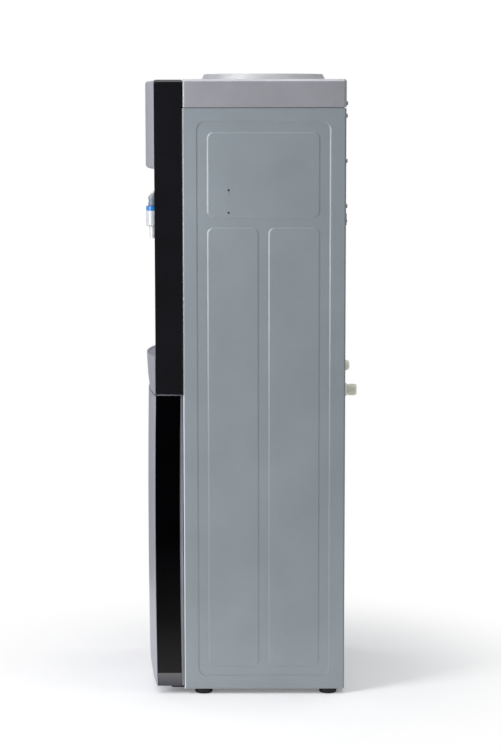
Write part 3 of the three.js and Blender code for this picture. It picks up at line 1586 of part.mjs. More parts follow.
function lowerDrainFitting() {
  const face = backFace + seatGap;
  const inside = cabinetRear - sheetWall - drain.flangeWall * 6;
  const neckEnd = cabinetRear + drainReach - drain.flangeWall * 1.5;
  const flangeBack = face + drain.flangeWall * 1.2;
  const neckBody = turnedBack(
    [
      [0, inside],
      [drain.pipe, inside],
      [drain.pipe, face],
      [drain.flange, face],
      [drain.flange, flangeBack + drain.flangeWall * 0.6],
      [drain.flange * 0.9, flangeBack + drain.flangeWall * 1.2],
      [drain.neck * 0.93, flangeBack + drain.flangeWall * 1.2],
      [drain.neck * 0.93, neckEnd],
      [0, neckEnd],
    ],
    roundFacets,
  );
  const bore = rodBack(drain.pipe * 0.6, inside - overrun, neckEnd + overrun, smallFacets);
  return neckBody.subtract(bore);
}

function lowerDrainCap() {
  const tip = cabinetRear + drainReach;
  const open = backFace + seatGap + drain.flangeWall * 2.4 + seatGap;
  const deep = tip - drain.flangeWall;
  const cap = turnedBack(
    [
      [drain.neck * 0.93 + runGap, open],
      [drain.cap, open],
      [drain.cap, tip - drain.flangeWall * 0.5],
      [drain.cap - drain.flangeWall * 0.5, tip],
      [0, tip],
      [0, deep],
      [drain.neck * 0.93 + runGap, deep],
    ],
    roundFacets,
  );
  const ribs = Array.from({ length: drain.capRibs }, (_, i) => {
    const rib = block(
      [-drain.flangeWall * 0.25, open + drain.flangeWall * 0.3, drain.cap - drain.flangeWall * 0.3],
      [drain.flangeWall * 0.25, tip - drain.flangeWall * 0.8, drain.cap + drain.flangeWall * 0.12],
    );
    return solid(geometryOf(rib).rotateY((i * 2 * Math.PI) / drain.capRibs));
  });
  return joined(cap, ...ribs);
}

// Rear switches: one housing in the back panel with two rockers
const rockerPivotY = backFace - switches.pivotDepth;
const rockerX = [-1, 1].map((side) => switchX + (side * switches.pitch) / 2);

function switchHousing() {
  const halfBody = (switches.pitch + switches.bodyWidth) / 2;
  const halfHeight = switches.bodyHeight / 2;
  const body = block(
    [switchX - halfBody, cabinetRear - switches.depth, switchZ - halfHeight],
    [switchX + halfBody, backFace + seatGap, switchZ + halfHeight],
  );
  const bezelShape = rectangle(
    switchX - halfBody - switches.bezel,
    switchX + halfBody + switches.bezel,
    switchZ - halfHeight - switches.bezel,
    switchZ + halfHeight + switches.bezel,
    switches.bezel,
  );
  const bezel = backwards(bezelShape, backFace + seatGap, backFace + seatGap + switches.bezelWall);
  const wells = rockerX.map((x) => {
    const half = switches.bodyWidth / 2 - switches.wall;
    return block(
      [x - half, rockerPivotY - switches.depth / 2, switchZ - halfHeight + switches.wall],
      [x + half, backFace + overrun, switchZ + halfHeight - switches.wall],
    );
  });
  return cutBy(joined(body, bezel), ...wells);
}

// Rocker: a shallow V in front of its pivot, tilted to one side at rest.
function rocker() {
  const half = switches.bodyHeight / 2 - switches.wall - runGap * 3;
  const rise = switches.rockerRise + switches.pivotDepth;
  const profile = outline([
    [-switches.pivotDepth, -half / 2],
    [rise, -half],
    [rise * 0.8, 0],
    [rise, half],
    [-switches.pivotDepth, half / 2],
  ]);
  const across = switches.bodyWidth / 2 - switches.wall - runGap;
  return sideways(profile, -across, across);
}

function cordGland() {
  const face = backFace + seatGap;
  const body = turnedBack(
    [
      [gland.bore, cabinetRear - gland.inside],
      [gland.radius, cabinetRear - gland.inside],
      [gland.radius, face],
      [gland.flange, face],
      [gland.flange, face + gland.flangeWall],
      [gland.radius * 0.9, face + gland.flangeWall + gland.nose * 0.2],
      [gland.radius * 0.66, face + gland.nose],
      [gland.bore, face + gland.nose],
    ],
    smallFacets,
  );
  return moved(body, glandX, 0, glandZ);
}

// Tubes from the tanks to the taps and to the lower drain
const tube = { radius: 4.5, steps: 16, sides: 7 };
const threadEnd = bossBack + tap.threadReach;
const tubeY = (threadEnd + cabinetMiddle - coldRadius - cold.foamFront) / 2; // midway between taps and foam

// From a tank's pipe, forward under the cold deck, up through it ahead of the foam and into a tap's thread.
function tapTube(start, side, rise) {
  const end = [side * tapX, threadEnd + seatGap, tapArmZ];
  const bend = tube.radius * 3;
  const under = start[2] + rise;
  return piped(
    [
      start,
      [start[0], start[1], start[2] + Math.sign(rise) * tube.radius],
      [(start[0] * 3 + end[0]) / 4, start[1] - bend, under],
      [end[0], tubeY + bend, under],
      [end[0], tubeY, Math.min(coldDeckZ, (under + end[2]) / 2)],
      [end[0], tubeY, end[2] - bend],
      [end[0], end[1] + tube.radius * 1.5, end[2]],
      end,
    ],
    tube.radius,
    tube.steps,
    tube.sides,
  );
}

function coldTube() {
  return tapTube([stubX, cabinetMiddle, coldFoot - cold.stubReach - seatGap], 1, -tube.radius * 3.5);
}

function hotTube() {
  const start = [hot.x + hot.outX, cabinetMiddle, hotTop + hot.dome + hot.outRise + seatGap];
  return tapTube(start, -1, tube.radius * 2.5);
}

function drainTube() {
  const start = [hot.x, cabinetMiddle, hotFoot - hot.dome - hot.drainDrop - seatGap];
  const end = [drain.x, cabinetRear - sheetWall - drain.flangeWall * 6 - seatGap, lowerDrainZ];
  return piped(
    [
      start,
      [start[0], start[1], start[2] - tube.radius],
      [start[0] + tube.radius * 3, start[1] + tube.radius * 4, end[2]],
      [(start[0] + end[0]) / 2, (start[1] + end[1]) / 2, end[2]],
      [end[0], end[1] - tube.radius * 3, end[2]],
      end,
    ],
    tube.radius,
    tube.steps,
    tube.sides,
  );
}

function deckHoles() {
  const low = coldDeckZ - overrun;
  const hole = (radius) => rod(radius, low, coldDeckZ + deck.lip + overrun, smallFacets);
  const pipeHole = hole(cold.stub + seatGap * 4);
  const pipes = [stubX, feedX].map((x) => moved(pipeHole, x, cabinetMiddle, 0));
  const tubes = [-1, 1].map((side) => moved(hole(tube.radius * 2), side * tapX, tubeY, 0));
  return [...pipes, ...tubes];
}

piece("tank_deck", deckSheet(deckTop - sheetWall, []), zincSteel);
piece("cold_deck", deckSheet(coldDeckZ, deckHoles()), zincSteel);
piece("cold_tank", coldTank(), stainless);
piece("tank_insulation", tankInsulation(), foam);
piece("cooling_module", coolingModule(), whitePlastic);
piece("heat_sink", heatSink(), aluminium);
piece("fan_frame", fanFrame(), blackPlastic);
piece("fan_rotor", fanRotor(), blackPlastic);
piece("hot_tank", hotTank(), stainless);
piece("hot_tank_heater", hotTankHeater(), zincSteel);
piece("power_box", powerBox(), blackPlastic);
piece("cold_tube", coldTube(), siliconeTube);
piece("hot_tube", hotTube(), siliconeTube);
piece("drain_tube", drainTube(), siliconeTube);

const upperPlug = piece("upper_drain_plug", upperDrainPlug(), creamPlastic);
upperPlug.position.set(drain.x, 0, upperDrainZ);
const lowerFitting = piece("lower_drain_fitting", lowerDrainFitting(), creamPlastic);
lowerFitting.position.set(drain.x, 0, lowerDrainZ);
const lowerCap = piece("lower_drain_cap", lowerDrainCap(), creamPlastic);
lowerCap.position.set(drain.x, 0, lowerDrainZ);

piece("switch_housing", switchHousing(), blackPlastic);
["hot_switch", "cold_switch"].forEach((name, i) => {
  const mesh = piece(name, rocker(), i === 0 ? redPlastic : bluePlastic);
  mesh.position.set(rockerX[i], rockerPivotY, switchZ);
  mesh.rotation.x = THREE.MathUtils.degToRad(switches.tilt);
});
piece("cord_gland", cordGland(), blackPlastic);

export default cooler;
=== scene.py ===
import math
import bpy
import bmesh
from mathutils import Matrix, Vector


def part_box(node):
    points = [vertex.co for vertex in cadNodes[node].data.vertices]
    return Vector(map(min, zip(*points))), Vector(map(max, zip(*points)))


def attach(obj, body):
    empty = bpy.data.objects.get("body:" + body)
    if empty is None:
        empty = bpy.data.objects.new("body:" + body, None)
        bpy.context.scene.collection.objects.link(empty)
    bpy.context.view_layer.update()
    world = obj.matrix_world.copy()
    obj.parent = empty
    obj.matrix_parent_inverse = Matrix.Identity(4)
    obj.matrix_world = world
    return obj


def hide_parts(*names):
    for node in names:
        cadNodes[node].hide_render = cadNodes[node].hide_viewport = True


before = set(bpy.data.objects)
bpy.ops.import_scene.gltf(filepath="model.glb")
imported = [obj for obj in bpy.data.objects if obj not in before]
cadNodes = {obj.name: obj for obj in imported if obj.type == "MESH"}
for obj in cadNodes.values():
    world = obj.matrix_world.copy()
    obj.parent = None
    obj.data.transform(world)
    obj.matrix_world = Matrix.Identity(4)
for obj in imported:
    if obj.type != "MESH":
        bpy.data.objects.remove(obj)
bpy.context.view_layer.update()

print("frame:", len(cadNodes), "solids loaded")


# ---- small helpers: lengths are written in millimetres

def mm(*sizes):
    metres = tuple(size / 1000 for size in sizes)
    return metres if len(metres) > 1 else metres[0]


def hexColor(text):
    parts = [int(text[i:i + 2], 16) / 255 for i in (1, 3, 5)]
    return tuple(c / 12.92 if c <= 0.04045 else ((c + 0.055) / 1.055) ** 2.4 for c in parts) + (1.0,)


def only(*objects):  # nothing else stays selected
    if bpy.context.object and bpy.context.object.mode == "EDIT":
        bpy.ops.object.mode_set(mode="OBJECT")
    bpy.ops.object.select_all(action="DESELECT")
    for one in objects:
        one.select_set(True)
    bpy.context.view_layer.objects.active = objects[0] if objects else None


def editMode(piece):
    only(piece)
    bpy.ops.object.mode_set(mode="EDIT")


def objectMode():
    bpy.ops.object.mode_set(mode="OBJECT")


def selectAll():
    bpy.ops.mesh.select_all(action="SELECT")


def outward():  # the faces of a closed shape all point out of it
    selectAll()
    bpy.ops.mesh.normals_make_consistent(inside=False)


def bevelEdges(width, segments, **settings):  # of what is picked
    bpy.ops.mesh.bevel(offset=mm(width), segments=segments, affect="EDGES", **settings)


def sliceAt(spot, way, trim=True, fill=True):  # trim takes off the side that way points to
    selectAll()
    bpy.ops.mesh.bisect(plane_co=mm(*spot), plane_no=way, use_fill=trim and fill, clear_outer=trim)


def shiftBy(*move):
    bpy.ops.transform.translate(value=mm(*move))


def raised(profile, by):  # a profile for turned(), higher by so many mm
    return [(radius, height + by) for radius, height in profile]


def pick(kind, test):  # test gets the middle in mm, and the normal or the edge's direction
    bpy.ops.mesh.select_mode(type=kind)
    bpy.ops.mesh.select_all(action="DESELECT")
    data = bpy.context.object.data
    mesh = bmesh.from_edit_mesh(data)
    for part in {"VERT": mesh.verts, "EDGE": mesh.edges, "FACE": mesh.faces}[kind]:
        if kind == "VERT":
            spot, way = part.co, part.normal
        elif kind == "EDGE":
            first, second = (v.co for v in part.verts)
            spot, way = (first + second) / 2, (second - first).normalized()
        else:
            spot, way = part.calc_center_median(), part.normal
        if test(spot * 1000, way):
            part.select_set(True)
    mesh.select_flush_mode()
    bmesh.update_edit_mesh(data)


def placed(piece, name):
    piece.name = name
    bpy.ops.object.transform_apply(location=True, rotation=True, scale=True)
    return piece


def block(name, low, high):
    only()
    middle = [(a + b) / 2000 for a, b in zip(low, high)]
    bpy.ops.mesh.primitive_cube_add(size=1, location=middle)
    piece = bpy.context.object
    piece.scale = [(b - a) / 1000 for a, b in zip(low, high)]
    return placed(piece, name)


def cylinder(name, sides, radius, length, middle, turn=(0, 0, 0)):
    only()
    bpy.ops.mesh.primitive_cylinder_add(vertices=sides, radius=mm(radius), depth=mm(length),
                                        location=mm(*middle), rotation=turn)
    return placed(bpy.context.object, name)


def roundBlock(name, low, high, radius, along, segments=6, where=None):  # its edges along one axis are rounded
    piece = block(name, low, high)
    editMode(piece)
    axis = "XYZ".index(along)
    pick("EDGE", lambda spot, way: abs(way[axis]) > 0.99 and (where is None or where(spot)))
    bevelEdges(radius, segments)
    objectMode()
    return piece


def turned(name, profile, centre, along="Z", sides=64, closed=False):  # profile: (radius, height) in mm
    only()
    bpy.ops.mesh.primitive_plane_add(size=0.01)
    piece = bpy.context.object
    editMode(piece)
    bpy.ops.mesh.select_mode(type="VERT")
    selectAll()
    bpy.ops.mesh.merge(type="CENTER")
    here = Vector((0, 0, 0))
    for i, (radius, height) in enumerate(profile + (profile[:1] if closed else [])):
        step = Vector((mm(radius), 0, mm(height))) - here
        if i == 0:
            bpy.ops.transform.translate(value=step)
        else:
            bpy.ops.mesh.extrude_vertices_move(TRANSFORM_OT_translate={"value": step})
        here += step
    selectAll()
    bpy.ops.mesh.spin(steps=sides, angle=math.tau, center=(0, 0, 0), axis=(0, 0, 1))
    selectAll()
    bpy.ops.mesh.remove_doubles(threshold=mm(0.004))
    outward()
    objectMode()
    piece.rotation_euler = {"X": (0, math.pi / 2, 0), "Y": (-math.pi / 2, 0, 0), "Z": (0, 0, 0)}[along]
    piece.location = mm(*centre)
    return placed(piece, name)


def rounding(radius, height, corner, start, end, steps):  # points of a rounded corner of a turned profile
    turn = [math.radians(start + (end - start) * i / steps) for i in range(steps + 1)]
    return [(radius + corner * math.cos(a), height + corner * math.sin(a)) for a in turn]


def join(name, *pieces):
    only(*pieces)
    bpy.ops.object.join()
    pieces[0].name = name
    return pieces[0]


def boolean(piece, tool, operation="DIFFERENCE"):
    only(piece)
    cut = piece.modifiers.new("cut", "BOOLEAN")
    cut.operation = operation
    cut.solver = "EXACT"
    cut.object = tool
    bpy.ops.object.modifier_apply(modifier=cut.name)
    only(tool)
    bpy.ops.object.delete()
    return piece


def modify(piece, kind, **settings):
    only(piece)
    modifier = piece.modifiers.new(kind.lower(), kind)
    for name, value in settings.items():
        setattr(modifier, name, value)
    bpy.ops.object.modifier_apply(modifier=modifier.name)
    return piece


def softened(piece, width, angle=30, segments=2):  # small rounds on every edge sharper than the angle
    return modify(piece, "BEVEL", width=mm(width), segments=segments, limit_method="ANGLE",
                  angle_limit=math.radians(angle), use_clamp_overlap=True, miter_outer="MITER_ARC")


def mirrored(piece, name):
    only(piece)
    bpy.ops.object.duplicate()
    twin = bpy.context.object
    twin.scale = (-1, 1, 1)
    placed(twin, name)
    editMode(twin)
    selectAll()
    bpy.ops.mesh.flip_normals()
    objectMode()
    return twin


def copyOf(piece, name, move):  # a copy with its own mesh, moved by so many mm
    only(piece)
    bpy.ops.object.duplicate()
    twin = bpy.context.object
    twin.location = mm(*move)
    return placed(twin, name)


def refined(node, edge, merge=1.0):  # a moulded solid of the frame with soft edges
    only()
    piece = cadNodes[node].copy()
    piece.data = piece.data.copy()
    for key in list(piece.keys()):
        del piece[key]
    piece.parent = None
    bpy.context.scene.collection.objects.link(piece)
    piece.name = node + "_look"
    editMode(piece)
    selectAll()
    bpy.ops.mesh.remove_doubles(threshold=mm(0.01))
    if merge:
        bpy.ops.mesh.dissolve_limited(angle_limit=math.radians(merge))
    objectMode()
    return softened(piece, edge, 38) if edge else piece


def finish(piece, material, body, slot, *replaced, smooth=32):  # smooth: up to so many degrees
    only(piece)
    bpy.ops.object.shade_smooth_by_angle(angle=math.radians(smooth))
    modify(piece, "WEIGHTED_NORMAL", keep_sharp=True, weight=60)
    piece.data.materials.clear()
    piece.data.materials.append(material)
    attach(piece, body)
    if replaced:
        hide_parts(*replaced)
    return piece


def finishSolid(node, edge, material, body, slot):
    return finish(refined(node, edge), material, body, slot, node)


# ---- materials

def addNode(tree, kind, settings=None, links=None):  # kind as in Blender's node names, after ShaderNode
    node = tree.nodes.new("ShaderNode" + kind)
    for name, value in (settings or {}).items():
        if name == "stops":
            ramp = node.color_ramp.elements
            while len(ramp) < len(value):
                ramp.new(1.0)
            for stop, (place, color) in zip(ramp, value):
                stop.position, stop.color = place, color
        elif isinstance(name, int) or name in node.inputs:
            node.inputs[name].default_value = value
        else:
            setattr(node, name, value)
    for name, source in (links or {}).items():
        tree.links.new(source, node.inputs[name])
    return node


def startMaterial(name):
    material = bpy.data.materials.new(name)
    material.use_nodes = True
    tree = material.node_tree
    tree.nodes.clear()
    place = addNode(tree, "TexCoord").outputs["Object"]
    return material, tree, place


def endMaterial(tree, shader):
    addNode(tree, "OutputMaterial", links={"Surface": shader.outputs[0]})


def perMm(size):  # noise scale for a pattern of that size in mm, on coordinates in metres
    return 1000 / size


# Sprayed and moulded finishes: a slow drift of colour, a fine grain and a change of polish. Sizes are in mm.
def coatedMaterial(name, low, high, drift, grain, relief, rough, bump=0.35, metallic=0.0, ior=1.5, specular=0.5,
                   coat=0.0, coatRough=0.05, coatIor=1.5, milky=0.0, clear=0.0, flake=None, flakeShade=0.0,
                   colourAndPaintedLightByHeight=None, paintedHighlight=None):
    material, tree, place = startMaterial(name)
    clouds = addNode(tree, "TexNoise", {"Scale": perMm(drift), "Detail": 3.0, "Roughness": 0.55},
                     {"Vector": place})
    tint = addNode(tree, "ValToRGB", {"stops": [(0.3, hexColor(low)), (0.7, hexColor(high))]},
                   {"Fac": clouds.outputs["Fac"]}).outputs["Color"]
    if flake:
        flakes = addNode(tree, "TexVoronoi", {"Scale": perMm(flake)}, {"Vector": place})
        shine = addNode(tree, "MapRange", {"To Min": 1 - flakeShade, "To Max": 1 + flakeShade},
                        {"Value": flakes.outputs["Color"]})
        tint = addNode(tree, "Mix", {"data_type": "RGBA", "blend_type": "MULTIPLY", "Factor": 1.0},
                       {6: tint, 7: shine.outputs["Result"]}).outputs[2]
    if colourAndPaintedLightByHeight:  # a colour to add at each height over the floor; it carries painted light: painted reflection, painted shade and painted highlight bands
        foot, top = colourAndPaintedLightByHeight[0][0], colourAndPaintedLightByHeight[-1][0]
        spot = addNode(tree, "SeparateXYZ", links={"Vector": place})
        share = addNode(tree, "MapRange", {"From Min": mm(foot), "From Max": mm(top)},
                        {"Value": spot.outputs["Z"]})
        added = addNode(tree, "ValToRGB", {
            "stops": [((z - foot) / (top - foot), hexColor(color)) for z, color in colourAndPaintedLightByHeight]},
            {"Fac": share.outputs["Result"]})
        tint = addNode(tree, "Mix", {"data_type": "RGBA", "blend_type": "ADD", "Factor": 1.0},
                       {6: tint, 7: added.outputs["Color"]}).outputs[2]
    if paintedHighlight:  # painted highlight: pale beyond a line: its axis, where it starts, where it is full, and the colour
        axis, start, full, pale = paintedHighlight
        spot = addNode(tree, "SeparateXYZ", links={"Vector": place})
        share = addNode(tree, "MapRange", {"From Min": mm(start), "From Max": mm(full)},
                        {"Value": spot.outputs[axis]})
        tint = addNode(tree, "Mix", {"data_type": "RGBA", 7: hexColor(pale)},
                       {"Factor": share.outputs["Result"], 6: tint}).outputs[2]
    grains = addNode(tree, "TexNoise", {"Scale": perMm(grain), "Detail": 4.0, "Roughness": 0.6},
                     {"Vector": place})
    surface = addNode(tree, "Bump", {"Strength": bump, "Distance": mm(relief)},
                      {"Height": grains.outputs["Fac"]})
    wiped = addNode(tree, "TexNoise", {"Scale": perMm(drift / 5), "Detail": 5.0}, {"Vector": place})
    polish = addNode(tree, "MapRange", {
        "From Min": 0.3, "From Max": 0.7, "To Min": rough[0], "To Max": rough[1]},
        {"Value": wiped.outputs["Fac"]})
    shader = addNode(tree, "BsdfPrincipled", {
        "Metallic": metallic, "IOR": ior, "Specular IOR Level": specular, "Coat Weight": coat,
        "Coat Roughness": coatRough, "Coat IOR": coatIor, "Transmission Weight": clear,
        "Subsurface Weight": milky, "Subsurface Radius": mm(4, 4, 4), "Subsurface Scale": 0.6},
        {"Base Color": tint, "Roughness": polish.outputs["Result"], "Normal": surface.outputs["Normal"]})
    endMaterial(tree, shader)
    return material


# Metals: rolled, drawn, turned or plated, with fine lines along the way the metal was worked
def workedMetal(name, low, high, line, patch, stretch, rough, relief, metallic=1.0, spangle=False,
                patchShare=0.5):
    material, tree, place = startMaterial(name)
    stretched = addNode(tree, "Mapping", {"Scale": stretch}, {"Vector": place})
    lines = addNode(tree, "TexNoise", {"Scale": perMm(line), "Detail": 4.0, "Roughness": 0.7},
                    {"Vector": stretched.outputs["Vector"]})
    kind, output = ("TexVoronoi", "Color") if spangle else ("TexNoise", "Fac")
    patches = addNode(tree, kind, {"Scale": perMm(patch)}, {"Vector": place})
    both = addNode(tree, "Math", {"operation": "MULTIPLY_ADD", 1: patchShare},
                   {0: patches.outputs[output], 2: lines.outputs["Fac"]})
    color = addNode(tree, "ValToRGB", {"stops": [(0.35, hexColor(low)), (0.95, hexColor(high))]},
                    {"Fac": both.outputs["Value"]})
    polish = addNode(tree, "MapRange", {
        "From Min": 0.3, "From Max": 1.0, "To Min": rough[0], "To Max": rough[1]},
        {"Value": both.outputs["Value"]})
    surface = addNode(tree, "Bump", {"Strength": 0.25, "Distance": mm(relief)},
                      {"Height": lines.outputs["Fac"]})
    shader = addNode(tree, "BsdfPrincipled", {"Metallic": metallic},
                     {"Base Color": color.outputs["Color"], "Roughness": polish.outputs["Result"],
                      "Normal": surface.outputs["Normal"]})
    endMaterial(tree, shader)
    return material


# Polyester powder coat on pressed steel: an even grey with the faint orange peel of the baked powder, and a
# pale painted highlight along the sharp front fold
powderCoatedSteel = coatedMaterial("powder_coated_steel",
    low="#8e979d", high="#97a0a6", drift=140, grain=1.4, relief=0.05, rough=(0.3, 0.37),
    specular=0.75, flake=1.6, flakeShade=0.018, paintedHighlight=("Y", -109.1, -109.9, "#dfe3ea"))
# ABS moulded in metallic silver: flakes lie in the plastic, so it sparkles softly under a smooth skin
metallicSilverAbs = coatedMaterial("metallic_silver_moulded_abs",
    low="#afafbb", high="#b4b4c0", drift=90, grain=0.9, relief=0.03, rough=(0.3, 0.38),
    metallic=0.3, flake=1.2, flakeShade=0.035, coat=0.15, coatRough=0.2)
# The lid's ABS is a darker satin grey with a spark-eroded texture, coarser than the fascia's
satinGreyAbs = coatedMaterial("satin_grey_moulded_abs",
    low="#a0a1a7", high="#aaabb1", drift=60, grain=1.1, relief=0.05, rough=(0.38, 0.48),
    metallic=0.2, flake=1.4, flakeShade=0.03)
# Piano-black ABS: deep black under a mirror-smooth skin, with hairline swirls from wiping
pianoBlackAbs = coatedMaterial("polished_black_abs",
    low="#0d0c10", high="#131217", drift=70, grain=2.2, relief=0.006, rough=(0.08, 0.14), specular=0.2)
# Black ABS from a grained mould: matt, with a leather-like fine texture
grainedBlackAbs = coatedMaterial("grained_black_abs",
    low="#1a1a1d", high="#222226", drift=50, grain=0.9, relief=0.12, bump=0.6, rough=(0.45, 0.6), specular=0.35)
# The door's black trims: the same ABS, with a painted reflection that grows lighter towards the floor and a
# grey painted reflection of the floor on the toe under the crease
blackAbsPaintedReflection = coatedMaterial("black_abs_painted_reflection",
    low="#010102", high="#030305", drift=70, grain=1.6, relief=0.01, rough=(0.14, 0.22), specular=0.02,
    colourAndPaintedLightByHeight=[(12.8, "#505058"), (35, "#707070"), (35.6, "#282828"), (130, "#101010"), (260, "#000000")])
# Glass-filled black nylon of the feet: dull, scuffed where it touches the floor
nylonFoot = coatedMaterial("moulded_black_nylon",
    low="#161618", high="#222225", drift=12, grain=0.8, relief=0.1, bump=0.5, rough=(0.5, 0.68), specular=0.35)
# The grey ABS of door liner and drip tray: plain and satin, light spreads evenly over it
satinGreyLinerAbs = coatedMaterial("grey_satin_abs",
    low="#9c9fa5", high="#a8abb2", drift=70, grain=0.9, relief=0.05, rough=(0.38, 0.5))
# Press cap: smoky grey ABS; the colour added up its height gives both its grey and painted light: painted
# shade, tinted blue, at the waist and a painted highlight on the dome
pressCapAbsPaintedLight = coatedMaterial("press_cap_grey_abs_painted_light",
    low="#202124", high="#303136", drift=5, grain=0.5, relief=0.04, rough=(0.25, 0.4),
    colourAndPaintedLightByHeight=[(805.9, "#808898"), (814.3, "#708098"), (822.2, "#a0a0a8"), (827, "#b8b8c0")])
# Food-safe white polypropylene: slightly waxy, light passes a little way in
whitePolypropylene = coatedMaterial("white_polypropylene",
    low="#d9dde2", high="#e4e8ec", drift=40, grain=0.8, relief=0.03, rough=(0.28, 0.4), milky=0.08)
# The tap's own polypropylene is glossier, so its round sides mirror the grey of the room towards their outline
tapPolypropylene = coatedMaterial("glossy_white_polypropylene",
    low="#ced2d7", high="#d9dde2", drift=20, grain=0.8, relief=0.02, rough=(0.3, 0.4),
    milky=0.05, ior=1.7, coat=0.7, coatRough=0.3, coatIor=1.9)
# High-impact polystyrene of the cabinet: vacuum-formed, white and satin
formedPolystyrene = coatedMaterial("vacuum_formed_white_polystyrene",
    low="#e3e5e6", high="#eef0f1", drift=80, grain=1.2, relief=0.05, rough=(0.35, 0.5), milky=0.04)
# Frosted spout: milky polycarbonate, brighter at its thin edges
frostedPolycarbonate = coatedMaterial("frosted_polycarbonate",
    low="#f4f6f9", high="#fafbfd", drift=12, grain=0.5, relief=0.02, rough=(0.22, 0.34),
    clear=0.12, ior=1.7, milky=0.15, coat=0.8, coatRough=0.25, coatIor=2.0)
# Clear lens over the lamps: a small sharp highlight over a dark hole
lampLens = coatedMaterial("clear_lamp_lens",
    low="#d7e0e2", high="#eaf0f1", drift=4, grain=0.6, relief=0.02, rough=(0.08, 0.14), clear=0.5, ior=1.58)
# Coloured rings and rockers: ABS dyed through, with a high gloss that mirrors the lamps
glossBlueAbs = coatedMaterial("gloss_blue_abs",
    low="#1d76cc", high="#3c97ea", drift=9, grain=0.8, relief=0.01, rough=(0.14, 0.22), coat=0.5)
glossRedAbs = coatedMaterial("gloss_red_abs",
    low="#b51713", high="#cf2a22", drift=9, grain=0.8, relief=0.01, rough=(0.14, 0.22), coat=0.3)
# Natural polypropylene, uncoloured, gone a little cream
creamPolypropylene = coatedMaterial("natural_polypropylene",
    low="#f7f4dd", high="#fdfbec", drift=8, grain=0.6, relief=0.05, rough=(0.35, 0.5), milky=0.25)
# Plasticised PVC gasket: dull grey, slightly dusty
gasketPvc = coatedMaterial("extruded_grey_gasket_pvc",
    low="#46474a", high="#55565a", drift=14, grain=0.9, relief=0.06, rough=(0.6, 0.78))
# Food-grade silicone tube: cloudy, with a soft sheen
siliconeTube = coatedMaterial("extruded_silicone",
    low="#d6dbd9", high="#e4e8e6", drift=20, grain=1.0, relief=0.02, rough=(0.35, 0.45),
    clear=0.3, ior=1.42, milky=0.1)
# Turned aluminium ring, anodised satin: closed circles of tool marks round its axis
turnedSatinRing = workedMetal("turned_anodised_ring",
    low="#9fa0a6", high="#c9c9cb", line=4, patch=40, stretch=(0.3, 0.3, 14), rough=(0.48, 0.58),
    relief=0.02, metallic=0.42)
# Hot-dip galvanised sheet: crystals of zinc a few millimetres across
galvanisedSheet = workedMetal("galvanised_sheet_steel",
    low="#8f9496", high="#bcc0c2", line=6, patch=7, stretch=(1, 1, 1), rough=(0.32, 0.5),
    relief=0.02, spangle=True, patchShare=0.6)
# Deep-drawn stainless steel: bright, with faint draw lines up its wall
drawnStainless = workedMetal("drawn_stainless_steel",
    low="#b1b4b6", high="#cfd1d3", line=5, patch=60, stretch=(6, 6, 0.3), rough=(0.18, 0.3), relief=0.01)
# Extruded aluminium: lines of the die along every fin
extrudedAluminium = workedMetal("extruded_aluminium",
    low="#9ea2a5", high="#c2c5c8", line=4, patch=30, stretch=(6, 6, 0.2), rough=(0.3, 0.44), relief=0.02)
# Zinc-plated screws: bright grey with a yellowish passivation in patches
platedScrewSteel = workedMetal("zinc_plated_screw_steel",
    low="#6f706d", high="#a7a8a2", line=1.2, patch=3, stretch=(1, 1, 1), rough=(0.3, 0.46), relief=0.02)


# Expanded polystyrene: beads 5 mm across pressed together, with darker seams between them
def beadFoam(name, bead, seam, bare):
    material, tree, place = startMaterial(name)
    beads = addNode(tree, "TexVoronoi", {"feature": "DISTANCE_TO_EDGE", "Scale": perMm(bead)},
                    {"Vector": place})
    color = addNode(tree, "ValToRGB", {"stops": [(0.0, hexColor(seam)), (0.12, hexColor(bare))]},
                    {"Fac": beads.outputs["Distance"]})
    bump = addNode(tree, "Bump", {"Strength": 0.5, "Distance": mm(0.5)}, {"Height": beads.outputs["Distance"]})
    shader = addNode(tree, "BsdfPrincipled", {"Roughness": 0.85, "Subsurface Weight": 0.05},
                     {"Base Color": color.outputs["Color"], "Normal": bump.outputs["Normal"]})
    endMaterial(tree, shader)
    return material


expandedPolystyrene = beadFoam("expanded_polystyrene", bead=5, seam="#c9c9c2", bare="#f2f2ee")

slotMaterials = {
    "silver_plastic": metallicSilverAbs, "cover_plastic": satinGreyAbs, "grey_enamel": powderCoatedSteel,
    "satin_ring": turnedSatinRing, "black_gloss": pianoBlackAbs, "black_plastic": grainedBlackAbs,
    "grey_plastic": satinGreyLinerAbs, "white_plastic": whitePolypropylene,
    "clear_plastic": frostedPolycarbonate, "blue_plastic": glossBlueAbs, "red_plastic": glossRedAbs,
    "cream_plastic": creamPolypropylene, "zinc_steel": galvanisedSheet, "stainless": drawnStainless,
    "aluminium": extrudedAluminium,
    "foam": expandedPolystyrene, "soft_rubber": gasketPvc, "silicone": siliconeTube,
}
for node in cadNodes.values():  # the solids that stay inside get the finish of their slot
    for spot in node.material_slots:
        slotName = spot.material.name.split(".")[0] if spot.material else ""
        if slotName in slotMaterials:
            spot.material = slotMaterials[slotName]
        else:
            print("no finish for", node.name, slotName)
print("materials:", len(bpy.data.materials))


# ---- camera: a long lens level with the middle of the cooler, looking a little down on it

view = {"x": 3.555, "y": -0.00115, "z": 0.9685, "down": 7.27, "roll": -0.07, "lens": 100.8}
cameraData = bpy.data.cameras.new("camera")
cameraData.lens = view["lens"]
cameraData.sensor_width = 36
camera = bpy.data.objects.new("camera", cameraData)
bpy.context.scene.collection.objects.link(camera)
camera.location = (view["x"], view["y"], view["z"])
down = math.radians(view["down"])
looking = Vector((-math.cos(down), 0, -math.sin(down))).to_track_quat("-Z", "Y").to_matrix()
camera.rotation_euler = (looking @ Matrix.Rotation(math.radians(view["roll"]), 3, "Z")).to_euler()
bpy.context.scene.camera = camera
bpy.context.scene.view_settings.view_transform = "Standard"


# ---- side panels: pressed steel with a sunk field and three raised islands

